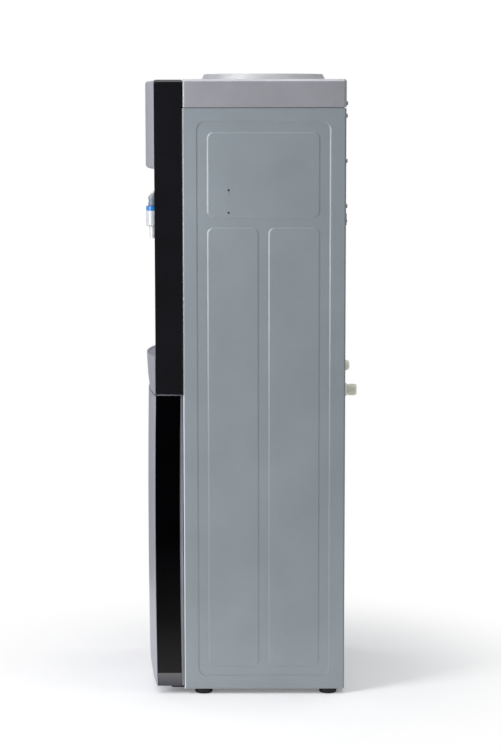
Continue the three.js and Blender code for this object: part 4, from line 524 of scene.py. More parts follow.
panel = {
    "face": 154.2, "flange": 140.2, "front": -111.15, "rear": 152.85, "foot": 8.6, "head": 966.8,
    "fold": 2.2, "frontFacet": (2.4, 1.25), "sheet": 0.9, "pressing": 1.3, "slope": 2.4, "overlap": 0.6,
    "field": (-88.7, 129.4, 29.5, 946.5), "fieldCorner": 14.5,
    "islands": [(-70.15, 110.85, 792, 928), (-70.15, 11.6, 48, 774.5), (29.1, 110.85, 48, 774.5)],
    "islandCorner": 10, "screws": [(-36.15, 799.0), (-36.15, 835.6)], "screwHole": 1.7,
}


def pressingTool(name, x, move, area, corner, grow):  # area and corner of its rounded outline grow by so much
    front, rear, foot, head = area[0] - grow, area[1] + grow, area[2] - grow, area[3] + grow
    only()
    bpy.ops.mesh.primitive_plane_add(size=1, location=mm(x, (front + rear) / 2, (foot + head) / 2),
                                     rotation=(0, math.pi / 2, 0))
    piece = bpy.context.object
    piece.scale = mm(head - foot, rear - front, 1)
    placed(piece, name)
    editMode(piece)
    selectAll()
    bpy.ops.mesh.bevel(offset=mm(corner + grow), segments=9, affect="VERTICES")
    selectAll()
    bpy.ops.mesh.extrude_region_move(TRANSFORM_OT_translate={"value": (mm(move), 0, 0)})
    outward()
    level = x + move  # the new end narrows over the slope of the pressing
    pick("FACE", lambda spot, way: abs(spot.x - level) < 0.1 and abs(way.x) > 0.9)
    bpy.ops.mesh.inset(thickness=mm(panel["slope"]), depth=mm(panel["pressing"]))
    outward()
    objectMode()
    return piece


def makeSidePanel():
    face, overlap = panel["face"], panel["overlap"]
    low = (panel["flange"], panel["front"], panel["foot"])
    high = (face, panel["rear"], panel["head"])
    sheet = roundBlock("side_panel_right_look", low, high, panel["fold"], "Z", 6,
                       lambda spot: spot.x > face - 1 and spot.y > 0)
    wide, deep = panel["frontFacet"]
    editMode(sheet)  # the front fold is set back in a narrow facet that catches the light; the steel's colour adds a painted highlight on it
    pick("EDGE", lambda spot, way: abs(way.z) > 0.99 and spot.x > face - 1 and spot.y < 0)
    bevelEdges(wide, 1)
    pick("EDGE", lambda spot, way: abs(way.z) > 0.99 and spot.x > face - 3 and spot.y < panel["front"] + 0.1)
    shiftBy(wide - deep, 0, 0)
    objectMode()
    boolean(sheet, pressingTool("pocket", face + overlap, -overlap, panel["field"], panel["fieldCorner"], 0))
    for area in panel["islands"]:
        boolean(sheet, pressingTool("island", face - panel["pressing"] - overlap, overlap, area,
                                    panel["islandCorner"], panel["slope"] / 2), "UNION")
    editMode(sheet)  # only the sheet stays: its back, top and foot are open
    pick("FACE", lambda spot, way: way.x < -0.9 or abs(way.z) > 0.9)
    bpy.ops.mesh.delete(type="FACE")
    objectMode()
    modify(sheet, "SOLIDIFY", thickness=mm(panel["sheet"]), offset=-1)
    for y, z in panel["screws"]:
        boolean(sheet, cylinder("hole", 20, panel["screwHole"], 8, (face, y, z), (0, math.pi / 2, 0)))
    return softened(sheet, 0.7, 18, 3)


rightPanel = makeSidePanel()
leftPanel = mirrored(rightPanel, "side_panel_left_look")
finish(rightPanel, powderCoatedSteel, "body", "grey_enamel", "side_panel_right", smooth=40)
finish(leftPanel, powderCoatedSteel, "body", "grey_enamel", "side_panel_left", smooth=40)
print("side panels")


# ---- top cover, bottle ring and bottle seat

cover = {"half": 155, "front": -111.15, "rear": 154.15, "foot": 968.3, "top": 1013.2, "corner": 4.9,
         "chamfer": 3.5, "chamferDepth": 2.7, "wall": 2.2, "hole": 91, "middle": (0, 20.85, 0),
         "lip": ((150.6, -109.5, 962), (152.3, 151, 972))}


def makeCover():
    low = (-cover["half"], cover["front"], cover["foot"])
    high = (cover["half"], cover["rear"], cover["top"])
    across = cover["middle"][1]
    lid = roundBlock("top_cover_look", low, high, cover["corner"], "Z", 6)
    editMode(lid)
    pick("FACE", lambda spot, way: way.z > 0.9)
    bpy.ops.mesh.region_to_loop()
    bevelEdges(cover["chamfer"], 1)
    pick("FACE", lambda spot, way: way.z > 0.9)
    out = cover["chamfer"] - cover["chamferDepth"]  # the chamfer is wider than it is high
    bpy.ops.transform.resize(value=(1 + out / (high[0] - cover["chamfer"]),
                                    1 + out / ((high[1] - low[1]) / 2 - cover["chamfer"]), 1),
                             center_override=mm(0, (high[1] + low[1]) / 2, high[2]))
    objectMode()
    boolean(lid, cylinder("hole", 96, cover["hole"], 200, (0, across, cover["top"])))
    editMode(lid)  # open below, and the hole has no wall
    pick("FACE", lambda spot, way: way.z < -0.9 or
         math.hypot(spot.x, spot.y - across) < cover["hole"] + 1 and abs(way.z) < 0.2)
    bpy.ops.mesh.delete(type="FACE")
    objectMode()
    modify(lid, "SOLIDIFY", thickness=mm(cover["wall"]), offset=-1)
    lip = softened(block("lip", *cover["lip"]), 0.3, 40)  # shows in the seam over the side panel
    return join("top_cover_look", softened(lid, 0.6, 38, 3), lip, mirrored(lip, "lip"))


finish(makeCover(), satinGreyAbs, "body", "cover_plastic", "top_cover", smooth=35)

collar = {"foot": 103.7, "footRound": 0.5, "top": 99.8, "rim": 1.1, "mouth": 92.5, "throat": 88, "wall": 2.2,
          "base": 1013.35, "height": 9.65, "skirt": 1011.2, "hollow": 4.2}


def makeCollar():
    base, top, rim, wall = collar["base"], collar["base"] + collar["height"], collar["rim"], collar["wall"]
    small, inner, outer = collar["footRound"], collar["throat"], collar["throat"] + wall
    under = top - collar["hollow"]
    profile = [(collar["foot"] - wall, base)]
    profile += rounding(collar["foot"] - small, base + small, small, -90, 20, 3)
    profile += rounding(collar["top"] - rim, top - rim, rim, 22, 90, 5)
    profile += rounding(collar["mouth"] + rim, top - rim, rim, 90, 180, 6)
    profile += [(outer, base + 3), (inner, base), (inner, collar["skirt"]), (outer, collar["skirt"]),
                (outer, base + 1), (collar["mouth"] + 3, under), (collar["top"] - 3.4, under)]
    return turned("bottle_collar_look", profile, cover["middle"], sides=128, closed=True)


finish(makeCollar(), turnedSatinRing, "body", "satin_ring", "bottle_collar", smooth=40)

seat = {"bowl": [(31, 942.4), (33.4, 942.4), (33.4, 974), (60, 989.5), (87.4, 1008.2), (97, 1008.2),
                 (97, 1010.4), (86, 1010.4), (84.4, 1009.9), (82.6, 1008.5), (76, 1005), (58, 992.2),
                 (37, 979.8), (33.4, 977.6), (31.5, 975.4), (31, 972.4)],
        "tube": 8, "tubeRound": 4.5, "tubeTop": 988.4, "tubeWall": 982, "bore": 5, "boreTop": 983,
        "slits": ((20, 1.7), (1.7, 20)), "slitZ": (970, 984.6), "neck": 31, "neckFoot": 942.4,
        "spoke": 6, "spokeHeight": 5, "spokeBore": (930, 960)}


def makeReceiver():  # a bowl under the bottle's shoulder, and a feed tube on a cross of spokes in its neck
    foot, y, bore = seat["neckFoot"], cover["middle"][1], seat["bore"]
    wide, small, tip = seat["tube"], seat["tubeRound"], seat["tubeTop"]
    bowl = turned("bottle_receiver_look", seat["bowl"], cover["middle"], sides=96, closed=True)
    tube = turned("tube", [(bore, foot), (wide, foot), (wide, seat["tubeWall"])]
                  + rounding(wide - small, tip - small, small, 10, 90, 5)
                  + [(0, tip), (0, tip - 1.5), (bore, seat["boreTop"])], cover["middle"], sides=32)
    for x, reach in seat["slits"]:
        boolean(tube, block("slit", (-x, y - reach, seat["slitZ"][0]), (x, y + reach, seat["slitZ"][1])))
    spokes, (low, high) = [], seat["spokeBore"]
    for x, reach in ((seat["neck"] + 1, seat["spoke"] / 2), (seat["spoke"] / 2, seat["neck"] + 1)):
        spoke = block("spoke", (-x, y - reach, foot), (x, y + reach, foot + seat["spokeHeight"]))
        hole = turned("bore", [(0, low), (bore, low), (bore, high), (0, high)], cover["middle"], sides=32)
        spokes.append(softened(boolean(spoke, hole), 0.8, 40))
    return join("bottle_receiver_look", bowl, softened(tube, 0.3, 50), *spokes)


finish(makeReceiver(), whitePolypropylene, "body", "white_plastic", "bottle_receiver", smooth=40)
print("cover, ring and bottle seat")


# ---- front: bowed plates are slices of a wide cylinder

def bowRadius(half, bow):
    return (half * half + bow * bow) / (2 * bow)


def bowedPlate(name, half, bow, edge, low, high, back, facets=20):  # edge: where the bow meets the sides
    radius = bowRadius(half, bow)
    sides = int(facets * math.pi / math.asin(half / radius)) * 2
    plate = cylinder(name, sides, radius, high - low, (0, edge - bow + radius, (low + high) / 2))
    editMode(plate)
    for spot, way in (((0, back, 0), (0, 1, 0)), ((half, 0, 0), (1, 0, 0)), ((-half, 0, 0), (-1, 0, 0))):
        sliceAt(spot, way)
    objectMode()
    return plate


def outlineBevel(piece, width, segments, test):  # rounds the rim of the faces that pass the test
    editMode(piece)
    pick("FACE", test)
    bpy.ops.mesh.region_to_loop()
    bevelEdges(width, segments)
    objectMode()
    return piece


fascia = {"half": 154.5, "bow": 20, "edge": -156.45, "foot": 869.1, "top": 1011, "round": 4.5,
          "lid": (138.7, -111.45, 1008.1), "lamps": (-20, 0, 20), "lampZ": 961.1, "lampHole": 2.65,
          "lampCut": (-190, -166), "dome": [(0, -0.3), (1.2, -0.22), (2.1, 0.1), (2.4, 0.6)], "domeFoot": -167,
          "bar": ((-24, -173, 956.6), (24, -170.6, 965.6), 1.5)}


def makeFascia():
    edge, top = fascia["edge"], fascia["top"]
    plate = bowedPlate("fascia_panel_look", fascia["half"], fascia["bow"], edge, fascia["foot"], top,
                       edge + 2 * fascia["round"])
    outlineBevel(plate, fascia["round"], 6, lambda spot, way: way.y < -0.5)
    editMode(plate)
    sliceAt((0, edge, 0), (0, 1, 0))
    objectMode()
    half, rear, foot = fascia["lid"]
    boolean(plate, block("lid", (-half, edge - 0.3, foot), (half, rear, top)), "UNION")
    wide, (near, far) = fascia["lampHole"], fascia["lampCut"]
    for x in fascia["lamps"]:
        boolean(plate, turned("hole", [(0, near), (wide, near), (wide, far), (0, far)],
                              (x, 0, fascia["lampZ"]), "Y", 24))
    return softened(plate, 0.3, 40)


def makeLenses():  # three shallow domes on one bar behind the fascia
    radius = bowRadius(fascia["half"], fascia["bow"])
    dots = []
    for x in fascia["lamps"]:
        front = fascia["edge"] - fascia["bow"] + radius - math.sqrt(radius ** 2 - x ** 2)
        profile = raised(fascia["dome"], front)
        profile += [(profile[-1][0], fascia["domeFoot"]), (0, fascia["domeFoot"])]
        dots.append(turned("lens", profile, (x, 0, fascia["lampZ"]), "Y", 24))
    return join("indicator_lens_look", roundBlock("bar", *fascia["bar"], "Y", 3), *dots)


finish(makeFascia(), metallicSilverAbs, "body", "silver_plastic", "fascia_panel", smooth=35)
finish(makeLenses(), lampLens, "body", "clear_plastic", "indicator_lens")

cheek = {"inner": 139, "outer": 155, "front": -156.15, "rear": -111.45, "foot": 501.8, "frontFoot": 504.4,
         "top": 1012.4, "topRound": 3.4, "topChamfer": 3.6, "sideRound": 2.1}


def makeCheek():
    front, outer, foot, top = cheek["front"], cheek["outer"], cheek["foot"], cheek["top"]
    middle = (foot + top) / 2
    piece = block("cheek_right_look", (cheek["inner"], front, foot), (outer, cheek["rear"], top))
    editMode(piece)
    pick("EDGE", lambda spot, way: abs(way.x) > 0.99 and spot.y < front + 1 and spot.z < middle)
    shiftBy(0, 0, cheek["frontFoot"] - foot)
    pick("EDGE", lambda spot, way: spot.x > outer - 0.1 and spot.z > top - 0.1)
    bevelEdges(cheek["topChamfer"], 1)
    pick("EDGE", lambda spot, way: abs(way.x) > 0.99 and spot.y < front + 1 and spot.z > middle)
    bevelEdges(cheek["topRound"], 8)
    pick("EDGE", lambda spot, way: spot.x > outer - 0.1 and (abs(way.y) < 0.9 or spot.z < middle))
    bevelEdges(cheek["sideRound"], 4, clamp_overlap=True)
    objectMode()
    return softened(piece, 0.3, 40)


rightCheek = makeCheek()
leftCheek = mirrored(rightCheek, "cheek_left_look")
finish(rightCheek, pianoBlackAbs, "body", "black_gloss", "cheek_right")
finish(leftCheek, pianoBlackAbs, "body", "black_gloss", "cheek_left")
finishSolid("niche_shell", 0.8, grainedBlackAbs, "body", "black_plastic")
print("fascia, lamps, cheeks and niche")


# ---- drip tray

tray = {"proud": 1.7, "slats": 0.6, "lip": ((150, -154, 500.9), (153.3, -112.5, 502.1))}

trayLip = softened(block("lip", *tray["lip"]), 0.2, 40)  # seen as a thin line between cheek and door
trayHousing = join("tray_housing_look", refined("tray_housing", 0.6), trayLip, mirrored(trayLip, "lip"))
finish(trayHousing, metallicSilverAbs, "body", "silver_plastic", "tray_housing")
finishSolid("drip_tray", 0.5, satinGreyLinerAbs, "drip_tray", "grey_plastic")


def makeGrille():  # its slats stand a little proud of the tray's rim
    grille = refined("drip_grille", None, merge=None)
    editMode(grille)
    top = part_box("drip_grille")[1][2] * 1000
    pick("VERT", lambda spot, way: spot.z > top - tray["slats"])
    shiftBy(0, 0, tray["proud"])
    objectMode()
    return softened(grille, 0.5, 38)


finish(makeGrille(), metallicSilverAbs, "drip_grille", "silver_plastic", "drip_grille")
print("drip tray")


# ---- taps: barrel and arm, ring, press button and spout

tap = {"place": (50, -163.65, 772.5), "apart": 100, "barrel": 11, "height": 25.5, "round": 1.8,
       "wellFoot": 15.5, "well": 8.3, "bore": 4, "ringFoot": 25.6, "ringTop": 33.1, "buttonFoot": 33.4,
       "armRise": 12, "armEnd": 58.4,
       "arm": [(7.6, -7), (8, -5.2), (9, -3.7), (10.6, -3.1), (13.9, -3), (14.5, -2.4), (14.5, -0.4),
               (14.1, 0)],
       "stem": [(0, -24), (3, -24), (3, 0)],
       "skirt": [(7.1, 0), (7.5, 0.4), (7.5, 3.6), (7.2, 5.6), (7.1, 6.4), (6.75, 7), (6.6, 7.5)],
       "head": [(6.6, 9.2), (6.75, 10), (7.1, 10.2), (7.3, 10.5), (7.3, 14.6), (7.1, 15.6), (6.4, 16.3),
                (5.3, 16.8), (4.5, 17.5), (4.1, 18.6)],
       "dome": [(4, 19.6), (3.7, 20.4), (2.8, 20.9), (1.5, 21.1), (0, 21.1)],
       "spout": [(2.7, -20.1), (3, -20.5), (4.3, -20.5), (4.8, -20), (6.4, -1.5), (6.5, -0.6), (6.3, -0.3),
                 (3.7, -0.3), (3.7, 3), (2.7, 3)]}


def makeTapBody():
    x, y, z = tap["place"]
    wide, small, top, end = tap["barrel"], tap["round"], tap["height"], tap["armEnd"]
    barrel = turned("cold_tap_body_look", [(0, 0)] + rounding(wide - small, small, small, -90, 0, 6)
                    + rounding(wide - 0.4, top - 0.4, 0.4, 0, 90, 3) + [(0, top)], tap["place"], sides=96)
    arm = turned("arm", [(0, 0), (tap["arm"][0][0], 0)] + raised(tap["arm"], end) + [(0, end)],
                 (x, y, z + tap["armRise"]), "Y", 72)
    boolean(barrel, arm, "UNION")
    boolean(barrel, turned("well", [(0, -1), (tap["bore"], -1), (tap["bore"], tap["wellFoot"]),
                                    (tap["well"], tap["wellFoot"]), (tap["well"], 30), (0, 30)], tap["place"]))
    return softened(barrel, 0.35, 42)


def makeTapRing():
    low, high, wide, bore = tap["ringFoot"], tap["ringTop"], tap["barrel"], tap["well"]
    profile = [(bore + 0.3, low), (wide - 0.4, low), (wide, low + 0.4)]
    profile += rounding(wide - 0.9, high - 0.9, 0.9, 0, 90, 5)
    profile += [(bore + 0.5, high), (bore, high - 0.5), (bore, low + 0.3)]
    return turned("cold_tap_ring_look", profile, tap["place"], sides=96, closed=True)


def makeTapButton():  # skirt, waist and head round one stem, with a small dome on top
    profile = raised(tap["stem"] + tap["skirt"] + tap["head"] + tap["dome"], tap["buttonFoot"])
    return turned("cold_tap_button_look", profile, tap["place"], sides=72)


def makeTapSpout():
    return turned("cold_tap_spout_look", tap["spout"], tap["place"], sides=48, closed=True)


bodyFinish = (tapPolypropylene, "body", "white_plastic")
spoutFinish = (frostedPolycarbonate, "body", "clear_plastic")
for part, make, coldFinish, hotFinish in (
        ("body", makeTapBody, bodyFinish, bodyFinish),
        ("ring", makeTapRing, (glossBlueAbs, "body", "blue_plastic"), (glossRedAbs, "body", "red_plastic")),
        ("button", makeTapButton, (pressCapAbsPaintedLight, "cold_button", "grey_plastic"),
         (pressCapAbsPaintedLight, "hot_button", "grey_plastic")),
        ("spout", makeTapSpout, spoutFinish, spoutFinish)):
    coldPart = make()
    hotPart = copyOf(coldPart, "hot_tap_" + part + "_look", (-tap["apart"], 0, 0))
    finish(coldPart, *coldFinish, "cold_tap_" + part)
    finish(hotPart, *hotFinish, "hot_tap_" + part)
finishSolid("hot_tap_lock", 0.4, glossRedAbs, "hot_lock", "red_plastic")
print("taps")


# ---- door: it bows forward a little over its height, and its chin slopes back to a straight edge

door = {"half": 154.6, "bow": 17.2, "edge": -156.85, "back": -155.85, "foot": 12.8, "head": 500,
        "heightBow": 2.1, "levels": 14, "chin": 29, "chinRound": 43, "trim": (152.5, 155, -155.55, -115.55),
        "toe": 22.4, "toeIn": 2.5, "grip": ((-160, -146, 305.8), (-142, -122, 401.8), 8)}
doorLevels = [door["foot"] + (door["head"] - door["foot"]) * i / door["levels"]
              for i in range(door["levels"] + 1)]


def doorBow(z):
    middle = (door["foot"] + door["head"]) / 2
    return door["heightBow"] * (1 - ((z - middle) / (door["head"] - middle)) ** 2)


def bowForward(piece, levels):
    editMode(piece)
    for z in levels:
        sliceAt((0, 0, z), (0, 0, 1), trim=False)
    for z in levels:
        pick("VERT", lambda spot, way: abs(spot.z - z) < 0.05)
        shiftBy(0, -doorBow(z), 0)
    objectMode()
    return piece


def makeDoorFront():
    edge, bow, chin, radius = door["edge"], door["bow"], door["chin"], door["chinRound"]
    plate = bowedPlate("door_front_look", door["half"], bow, edge, door["foot"], door["head"], door["back"], 18)
    bowForward(plate, doorLevels)
    editMode(plate)
    sliceAt((0, edge, door["foot"]), (0, -chin, -bow))
    corner, full = door["foot"] + chin, math.atan(bow / chin)
    middle = (edge - bow - doorBow(corner) + radius, corner + radius * math.tan(full / 2))
    for share in (0.25, 0.5, 0.75):  # flats round the corner between front and chin
        lean = full * share
        sliceAt((0, middle[0] - radius * math.cos(lean), middle[1] - radius * math.sin(lean)),
                (0, -math.cos(lean), -math.sin(lean)))
    objectMode()
    return softened(plate, 0.8, 14, 3)


def makeDoorTrim():
    inner, outer, front, rear = door["trim"]
    trim = block("door_trim_right_look", (inner, front, door["foot"]), (outer, rear, door["head"]))
    bowForward(trim, [door["foot"], door["foot"] + door["toe"]] + doorLevels[1:])
    editMode(trim)
    pick("VERT", lambda spot, way: spot.z < door["foot"] + 1)
    shiftBy(-door["toeIn"], 0, 0)
    objectMode()
    return softened(trim, 0.7, 30, 3)


finish(makeDoorFront(), metallicSilverAbs, "door", "silver_plastic", "door_front", smooth=25)
rightTrim = makeDoorTrim()
leftTrim = mirrored(rightTrim, "door_trim_left_look")
low, high, corner = door["grip"]
boolean(leftTrim, roundBlock("grip", low, high, corner, "X"))
softened(leftTrim, 0.4, 60)
finish(rightTrim, blackAbsPaintedReflection, "door", "black_gloss", "door_trim_right")
finish(leftTrim, blackAbsPaintedReflection, "door", "black_gloss", "door_trim_left")
finishSolid("door_liner", 0.7, satinGreyLinerAbs, "door", "grey_plastic")
finishSolid("door_seal", 0.9, gasketPvc, "door", "soft_rubber")
for name in ("hinge_bottom", "hinge_top"):
    finishSolid(name, 0.4, grainedBlackAbs, "body", "black_plastic")
print("door and hinges")


# ---- storage cabinet: one formed shell with round corners behind a flat frame

cabinet = {"room": ((-133.9, -114, 32.9), (133.9, 128.85, 458.9)), "corner": 11, "mouth": -110.95, "wall": 2,
           "frame": ((-139.9, -111.15, 26.9), (139.9, -109.95, 500)),
           "lip": ((-139.9, -111.15, 498.8), (139.9, -87.15, 500)),
           "catch": ((-118.5, -115, 471.2), (-73.9, -105, 485.8))}


def cabinetRoom():
    room = roundBlock("room", *cabinet["room"], cabinet["corner"], "Y", 8)
    return outlineBevel(room, cabinet["corner"], 8, lambda spot, way: way.y > 0.99)


def makeCabinetLiner():
    shell = cabinetRoom()
    editMode(shell)
    sliceAt((0, cabinet["mouth"], 0), (0, -1, 0), fill=False)
    objectMode()
    modify(shell, "SOLIDIFY", thickness=mm(cabinet["wall"]), offset=1)
    frameSheet = block("cabinet_liner_look", *cabinet["frame"])
    boolean(frameSheet, cabinetRoom())
    boolean(frameSheet, block("catch", *cabinet["catch"]))
    softened(frameSheet, 0.4, 40)
    return join("cabinet_liner_look", frameSheet, shell, softened(block("lip", *cabinet["lip"]), 0.3))


finish(makeCabinetLiner(), formedPolystyrene, "body", "white_plastic", "cabinet_liner")
finishSolid("magnet_catch", 0.4, grainedBlackAbs, "body", "black_plastic")
print("storage cabinet")


# ---- base pan and levelling feet

foot = {"radius": 14.5, "top": 8, "footRound": 1.6, "topRound": 0.8,
        "stem": 4, "stemTop": 24.6, "stemRound": 0.6,
        "places": {"foot_front_left": (-140, -79.65), "foot_front_right": (140, -79.65),
                   "foot_rear_left": (-140, 127.35), "foot_rear_right": (140, 127.35)}}


def makeFoot(name, x, y):
    wide, top, stem, tip = foot["radius"], foot["top"], foot["stem"], foot["stemTop"]
    low, high, small = foot["footRound"], foot["topRound"], foot["stemRound"]
    profile = [(0, 0), (wide - 2.2, 0)] + rounding(wide - low, low, low, -70, 0, 5)
    profile += rounding(wide - high, top - high, high, 0, 90, 4)
    profile += [(stem + 3.5, top), (stem + 3, top + 0.25), (stem, top + 0.25), (stem, tip - small),
                (stem - small, tip), (0, tip)]
    return turned(name + "_look", profile, (x, y, 0), sides=72)


for name, (x, y) in foot["places"].items():
    finish(makeFoot(name, x, y), nylonFoot, name, "black_plastic", name)
finishSolid("base_pan", 0.5, galvanisedSheet, "body", "zinc_steel")
print("feet and base pan")


# ---- back: vented sheet with its screws, drains, switches and cord gland

back = {"low": (-153.5, 152.85, 9.3), "high": (153.5, 153.75, 966.5), "cut": (150, 157),
        "slot": (5, 70), "pitch": 13, "count": 7, "fields": (845, 620),
        "holes": ((50, 538, 6.3), (50, 496.6, 6.3), (-104, 520, 9.3)),
        "window": ((89.2, 150, 779.7), (134.8, 157, 795.3))}


def makeBackPanel():
    sheet = block("back_panel_look", back["low"], back["high"])
    cuts = [block("cut", *back["window"])]
    wide, tall = back["slot"]
    near, far = back["cut"]
    for z in back["fields"]:
        for i in range(back["count"]):
            x = (i - (back["count"] - 1) / 2) * back["pitch"]
            cuts.append(roundBlock("cut", (x - wide / 2, near, z - tall / 2), (x + wide / 2, far, z + tall / 2),
                                   wide / 2 - 0.05, "Y", 5))
    for x, z, radius in back["holes"]:
        cuts.append(turned("cut", [(0, near), (radius, near), (radius, far), (0, far)], (x, 0, z), "Y", 36))
    boolean(sheet, join("cuts", *cuts))
    return softened(sheet, 0.25, 40)


screw = {"head": [(0, 0), (3.6, 0), (3.6, 0.7), (3.4, 1.5), (2.8, 2.1), (1.8, 2.45), (0, 2.6)],
         "recess": ((3.8, 0.9), (0.9, 3.8)), "recessY": (1.3, 4), "across": (-145, 145), "panelY": 153.75,
         "panelZ": (954.6, 882.1, 809.5), "coverY": 154.15, "coverZ": 974.7}


def makeScrew(x, y, z):  # pan head with a cross recess
    head = turned("screw", screw["head"], (x, y, z), "Y", 32)
    near, far = screw["recessY"]
    for wide, tall in screw["recess"]:
        boolean(head, block("recess", (x - wide / 2, y + near, z - tall / 2),
                            (x + wide / 2, y + far, z + tall / 2)))
    return softened(head, 0.12, 50)


finish(makeBackPanel(), powderCoatedSteel, "body", "grey_enamel", "back_panel")
screwPlaces = [(x, screw["panelY"], z) for x in screw["across"] for z in screw["panelZ"]]
screwPlaces += [(x, screw["coverY"], screw["coverZ"]) for x in screw["across"]]
firstScrew = makeScrew(*screwPlaces[0])
screws = [firstScrew] + [copyOf(firstScrew, "screw", [b - a for a, b in zip(screwPlaces[0], place)])
                         for place in screwPlaces[1:]]
for i, piece in enumerate(screws):
    piece.name = "panel_screw_%d" % (i + 1)
    finish(piece, platedScrewSteel, "body", "zinc_steel")
print("back panel and screws")

drain = {"x": 50, "plugZ": 538, "capZ": 496.6, "face": 154.05, "reach": 23.1, "capFoot": 7.5, "capRadius": 9.5,
         "capBore": 7.3, "ribs": 8, "rib": (1.4, 7.4, 0.7), "ribMiddle": 7.5, "ribSunk": 0.15,
         "plug": [(0, -8), (6, -8), (6, 0), (8.3, 0), (8.7, 0.4), (8.7, 5.6), (8.4, 7.6), (7.4, 9.4),
                  (5.6, 10.6), (3, 11.15), (0, 11.25)],
         "fitting": [(3.6, -20), (6, -20), (6, 0), (10.6, 0), (11, 0.4), (11, 4.6), (10.7, 6), (9.9, 7),
                     (7.3, 7.2), (7.05, 7.5), (7.05, 18.3), (6.7, 18.6), (3.6, 18.6)]}


def makeDrainCap():  # screw cap with low ribs round it for the fingers
    wide, bore, x, z = drain["capRadius"], drain["capBore"], drain["x"], drain["capZ"]
    foot, tip = drain["face"] + drain["capFoot"], drain["face"] + drain["reach"]
    cap = turned("lower_drain_cap_look", [
        (bore, foot), (wide - 1.9, foot), (wide - 1.1, foot + 0.4), (wide - 0.4, foot + 1.5),
        (wide, foot + 3.2), (wide, tip - 4), (wide - 0.4, tip - 2.2), (wide - 1.1, tip - 0.8),
        (wide - 2.2, tip), (wide - 3.2, tip), (wide - 4, tip - 0.4), (0, tip - 0.4), (0, tip - 3),
        (bore, tip - 3)], (x, 0, z), "Y", closed=True)
    ribs = []
    for i in range(drain["ribs"]):
        angle, out = math.tau * i / drain["ribs"], wide - drain["ribSunk"]
        only()
        bpy.ops.mesh.primitive_cube_add(size=1, rotation=(0, angle, 0), location=mm(
            x + out * math.sin(angle), foot + drain["ribMiddle"], z + out * math.cos(angle)))
        bpy.context.object.scale = mm(*drain["rib"])
        ribs.append(softened(placed(bpy.context.object, "rib"), 0.3, 40))
    return join("lower_drain_cap_look", cap, *ribs)


drainPlug = turned("upper_drain_plug_look", raised(drain["plug"], drain["face"]),
                   (drain["x"], 0, drain["plugZ"]), "Y")
drainFitting = turned("lower_drain_fitting_look", raised(drain["fitting"], drain["face"]),
                      (drain["x"], 0, drain["capZ"]), "Y", closed=True)
finish(drainPlug, creamPolypropylene, "drain_plug", "cream_plastic", "upper_drain_plug")
finish(drainFitting, creamPolypropylene, "body", "cream_plastic", "lower_drain_fitting")
finish(makeDrainCap(), creamPolypropylene, "drain_cap", "cream_plastic", "lower_drain_cap")

gland = {"x": -104, "z": 520, "face": 154.05,
         "profile": [(4, -13.2), (9, -13.2), (9, 0), (12.1, 0), (12.5, 0.4), (12.5, 2), (12.1, 2.4), (8.6, 2.6),
                     (8.1, 3.8), (6.5, 6.4), (6, 7), (4.5, 7), (4, 6.5)]}

cordGland = turned("cord_gland_look", raised(gland["profile"], gland["face"]),
                   (gland["x"], 0, gland["z"]), "Y", closed=True)
finish(cordGland, grainedBlackAbs, "body", "black_plastic", "cord_gland")
finishSolid("switch_housing", 0.4, grainedBlackAbs, "body", "black_plastic")
finishSolid("hot_switch", 0.5, glossRedAbs, "hot_switch", "red_plastic")
finishSolid("cold_switch", 0.5, glossBlueAbs, "cold_switch", "blue_plastic")
print("drains, gland and switches")

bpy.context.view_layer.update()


# ---- studio: pale floor, soft lamps at a plain level

# each lamp: watts, width and height, its place and what it points at; distances are in metres here
studio = {"world": 0.29, "mirrored": 0.34, "air": "#f4f6fa", "white": "#ffffff",
          "key lamp": (14, 0.4, 1.8, (0.72, -0.85, 1.25), (0.155, -0.13, 0.95)),
          "rear lamp": (3, 0.9, 1.6, (0.75, 1.7, 0.85), (0.1, 0.15, 0.5)),
          "top lamp": (27, 1.0, 1.6, (0.0, 0.1, 2.6), (0, 0.05, 0.9)),
          "floor": 40, "floorZ": -0.0002, "floorColors": ("#f3f3f4", "#f8f8f8"), "floorPatch": 220,
          "floorGlow": 0.18, "floorBounce": 0.4, "fade": (0.2, 0.62), "edge": (0.6, 0.9)}


def areaLamp(name, power, width, height, place, target):
    only()
    bpy.ops.object.light_add(type="AREA", location=place)
    lamp = bpy.context.object
    lamp.name = name
    lamp.data.energy = power
    lamp.data.shape = "RECTANGLE"
    lamp.data.size, lamp.data.size_y = width, height
    lamp.rotation_euler = (Vector(target) - Vector(place)).to_track_quat("-Z", "Y").to_euler()


for name in ("key lamp", "rear lamp", "top lamp"):
    areaLamp(name, *studio[name])

world = bpy.data.worlds.new("studio")
bpy.context.scene.world = world
world.use_nodes = True
sky = world.node_tree
sky.nodes.clear()
rays = addNode(sky, "LightPath")
shown = addNode(sky, "Math", {"operation": "MAXIMUM"},
                {0: rays.outputs["Is Camera Ray"], 1: rays.outputs["Is Transmission Ray"]})
strength = addNode(sky, "MapRange", {"To Min": studio["world"], "To Max": studio["mirrored"]},
                   {"Value": rays.outputs["Is Glossy Ray"]})
light = addNode(sky, "Background", {"Color": hexColor(studio["air"])}, {"Strength": strength.outputs["Result"]})
white = addNode(sky, "Background", {"Color": hexColor(studio["white"]), "Strength": 1.0})
blend = addNode(sky, "MixShader", links={0: shown.outputs[0], 1: light.outputs[0], 2: white.outputs[0]})
addNode(sky, "OutputWorld", links={"Surface": blend.outputs[0]})


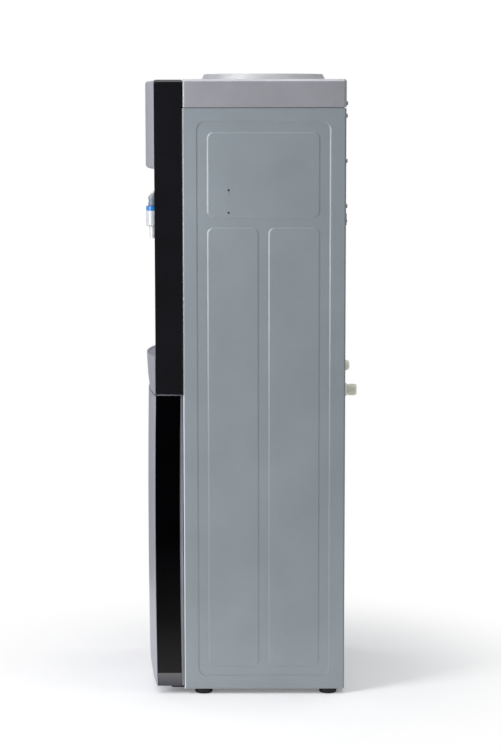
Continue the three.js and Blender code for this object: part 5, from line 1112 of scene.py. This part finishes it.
def floorMaterial():  # pale painted floor that fades to the white background away from the cooler
    material, tree, place = startMaterial("pale_painted_floor")
    (fadeStart, fadeEnd), (edgeStart, edgeEnd) = studio["fade"], studio["edge"]
    low, high = (hexColor(color) for color in studio["floorColors"])
    paint = addNode(tree, "TexNoise", {"Scale": perMm(studio["floorPatch"]), "Detail": 3.0}, {"Vector": place})
    color = addNode(tree, "ValToRGB", {"stops": [(0.3, low), (0.7, high)]}, {"Fac": paint.outputs["Fac"]})
    matt = addNode(tree, "BsdfPrincipled", {"Roughness": 0.8, "Specular IOR Level": 0.2},
                   {"Base Color": color.outputs["Color"]})
    reach = addNode(tree, "VectorMath", {"operation": "LENGTH"}, {0: place}).outputs["Value"]
    path = addNode(tree, "LightPath")
    seen = addNode(tree, "Math", {"operation": "MAXIMUM"},
                   {0: path.outputs["Is Camera Ray"], 1: path.outputs["Is Transmission Ray"]}).outputs[0]
    around = addNode(tree, "MapRange", {"From Min": edgeStart, "From Max": edgeEnd,
                                        "To Min": studio["floorBounce"], "To Max": 0.0}, {"Value": reach})
    bounce = addNode(tree, "Math", {"operation": "MULTIPLY"},
                     {0: around.outputs["Result"], 1: path.outputs["Is Diffuse Ray"]})
    glow = addNode(tree, "Math", {"operation": "MULTIPLY_ADD", 1: studio["floorGlow"]},
                   {0: seen, 2: bounce.outputs[0]})
    sheen = addNode(tree, "Emission", {"Color": hexColor(studio["white"])}, {"Strength": glow.outputs[0]})
    lit = addNode(tree, "AddShader", links={0: matt.outputs[0], 1: sheen.outputs[0]})
    white = addNode(tree, "Emission", {"Color": hexColor(studio["white"]), "Strength": 1.0})
    dim = addNode(tree, "Emission", {"Color": hexColor(studio["air"]), "Strength": studio["mirrored"]})
    beyond = addNode(tree, "MapRange", {"interpolation_type": "SMOOTHSTEP", "From Min": fadeStart,
                                        "From Max": fadeEnd}, {"Value": reach})
    outside = addNode(tree, "MapRange", {"interpolation_type": "SMOOTHSTEP", "From Min": edgeStart,
                                         "From Max": edgeEnd}, {"Value": reach})
    fade = addNode(tree, "Math", {"operation": "MULTIPLY"}, {0: beyond.outputs["Result"], 1: seen})
    paler = addNode(tree, "MixShader", links={0: fade.outputs[0], 1: lit.outputs[0], 2: white.outputs[0]})
    dull = addNode(tree, "Math", {"operation": "MULTIPLY"},
                   {0: outside.outputs["Result"], 1: path.outputs["Is Glossy Ray"]})
    mix = addNode(tree, "MixShader", links={0: dull.outputs[0], 1: paler.outputs[0], 2: dim.outputs[0]})
    endMaterial(tree, mix)
    return material


only()
bpy.ops.mesh.primitive_plane_add(size=studio["floor"], location=(0, 0, studio["floorZ"]))
floor = placed(bpy.context.object, "floor")
floor.data.materials.append(floorMaterial())
print("studio")
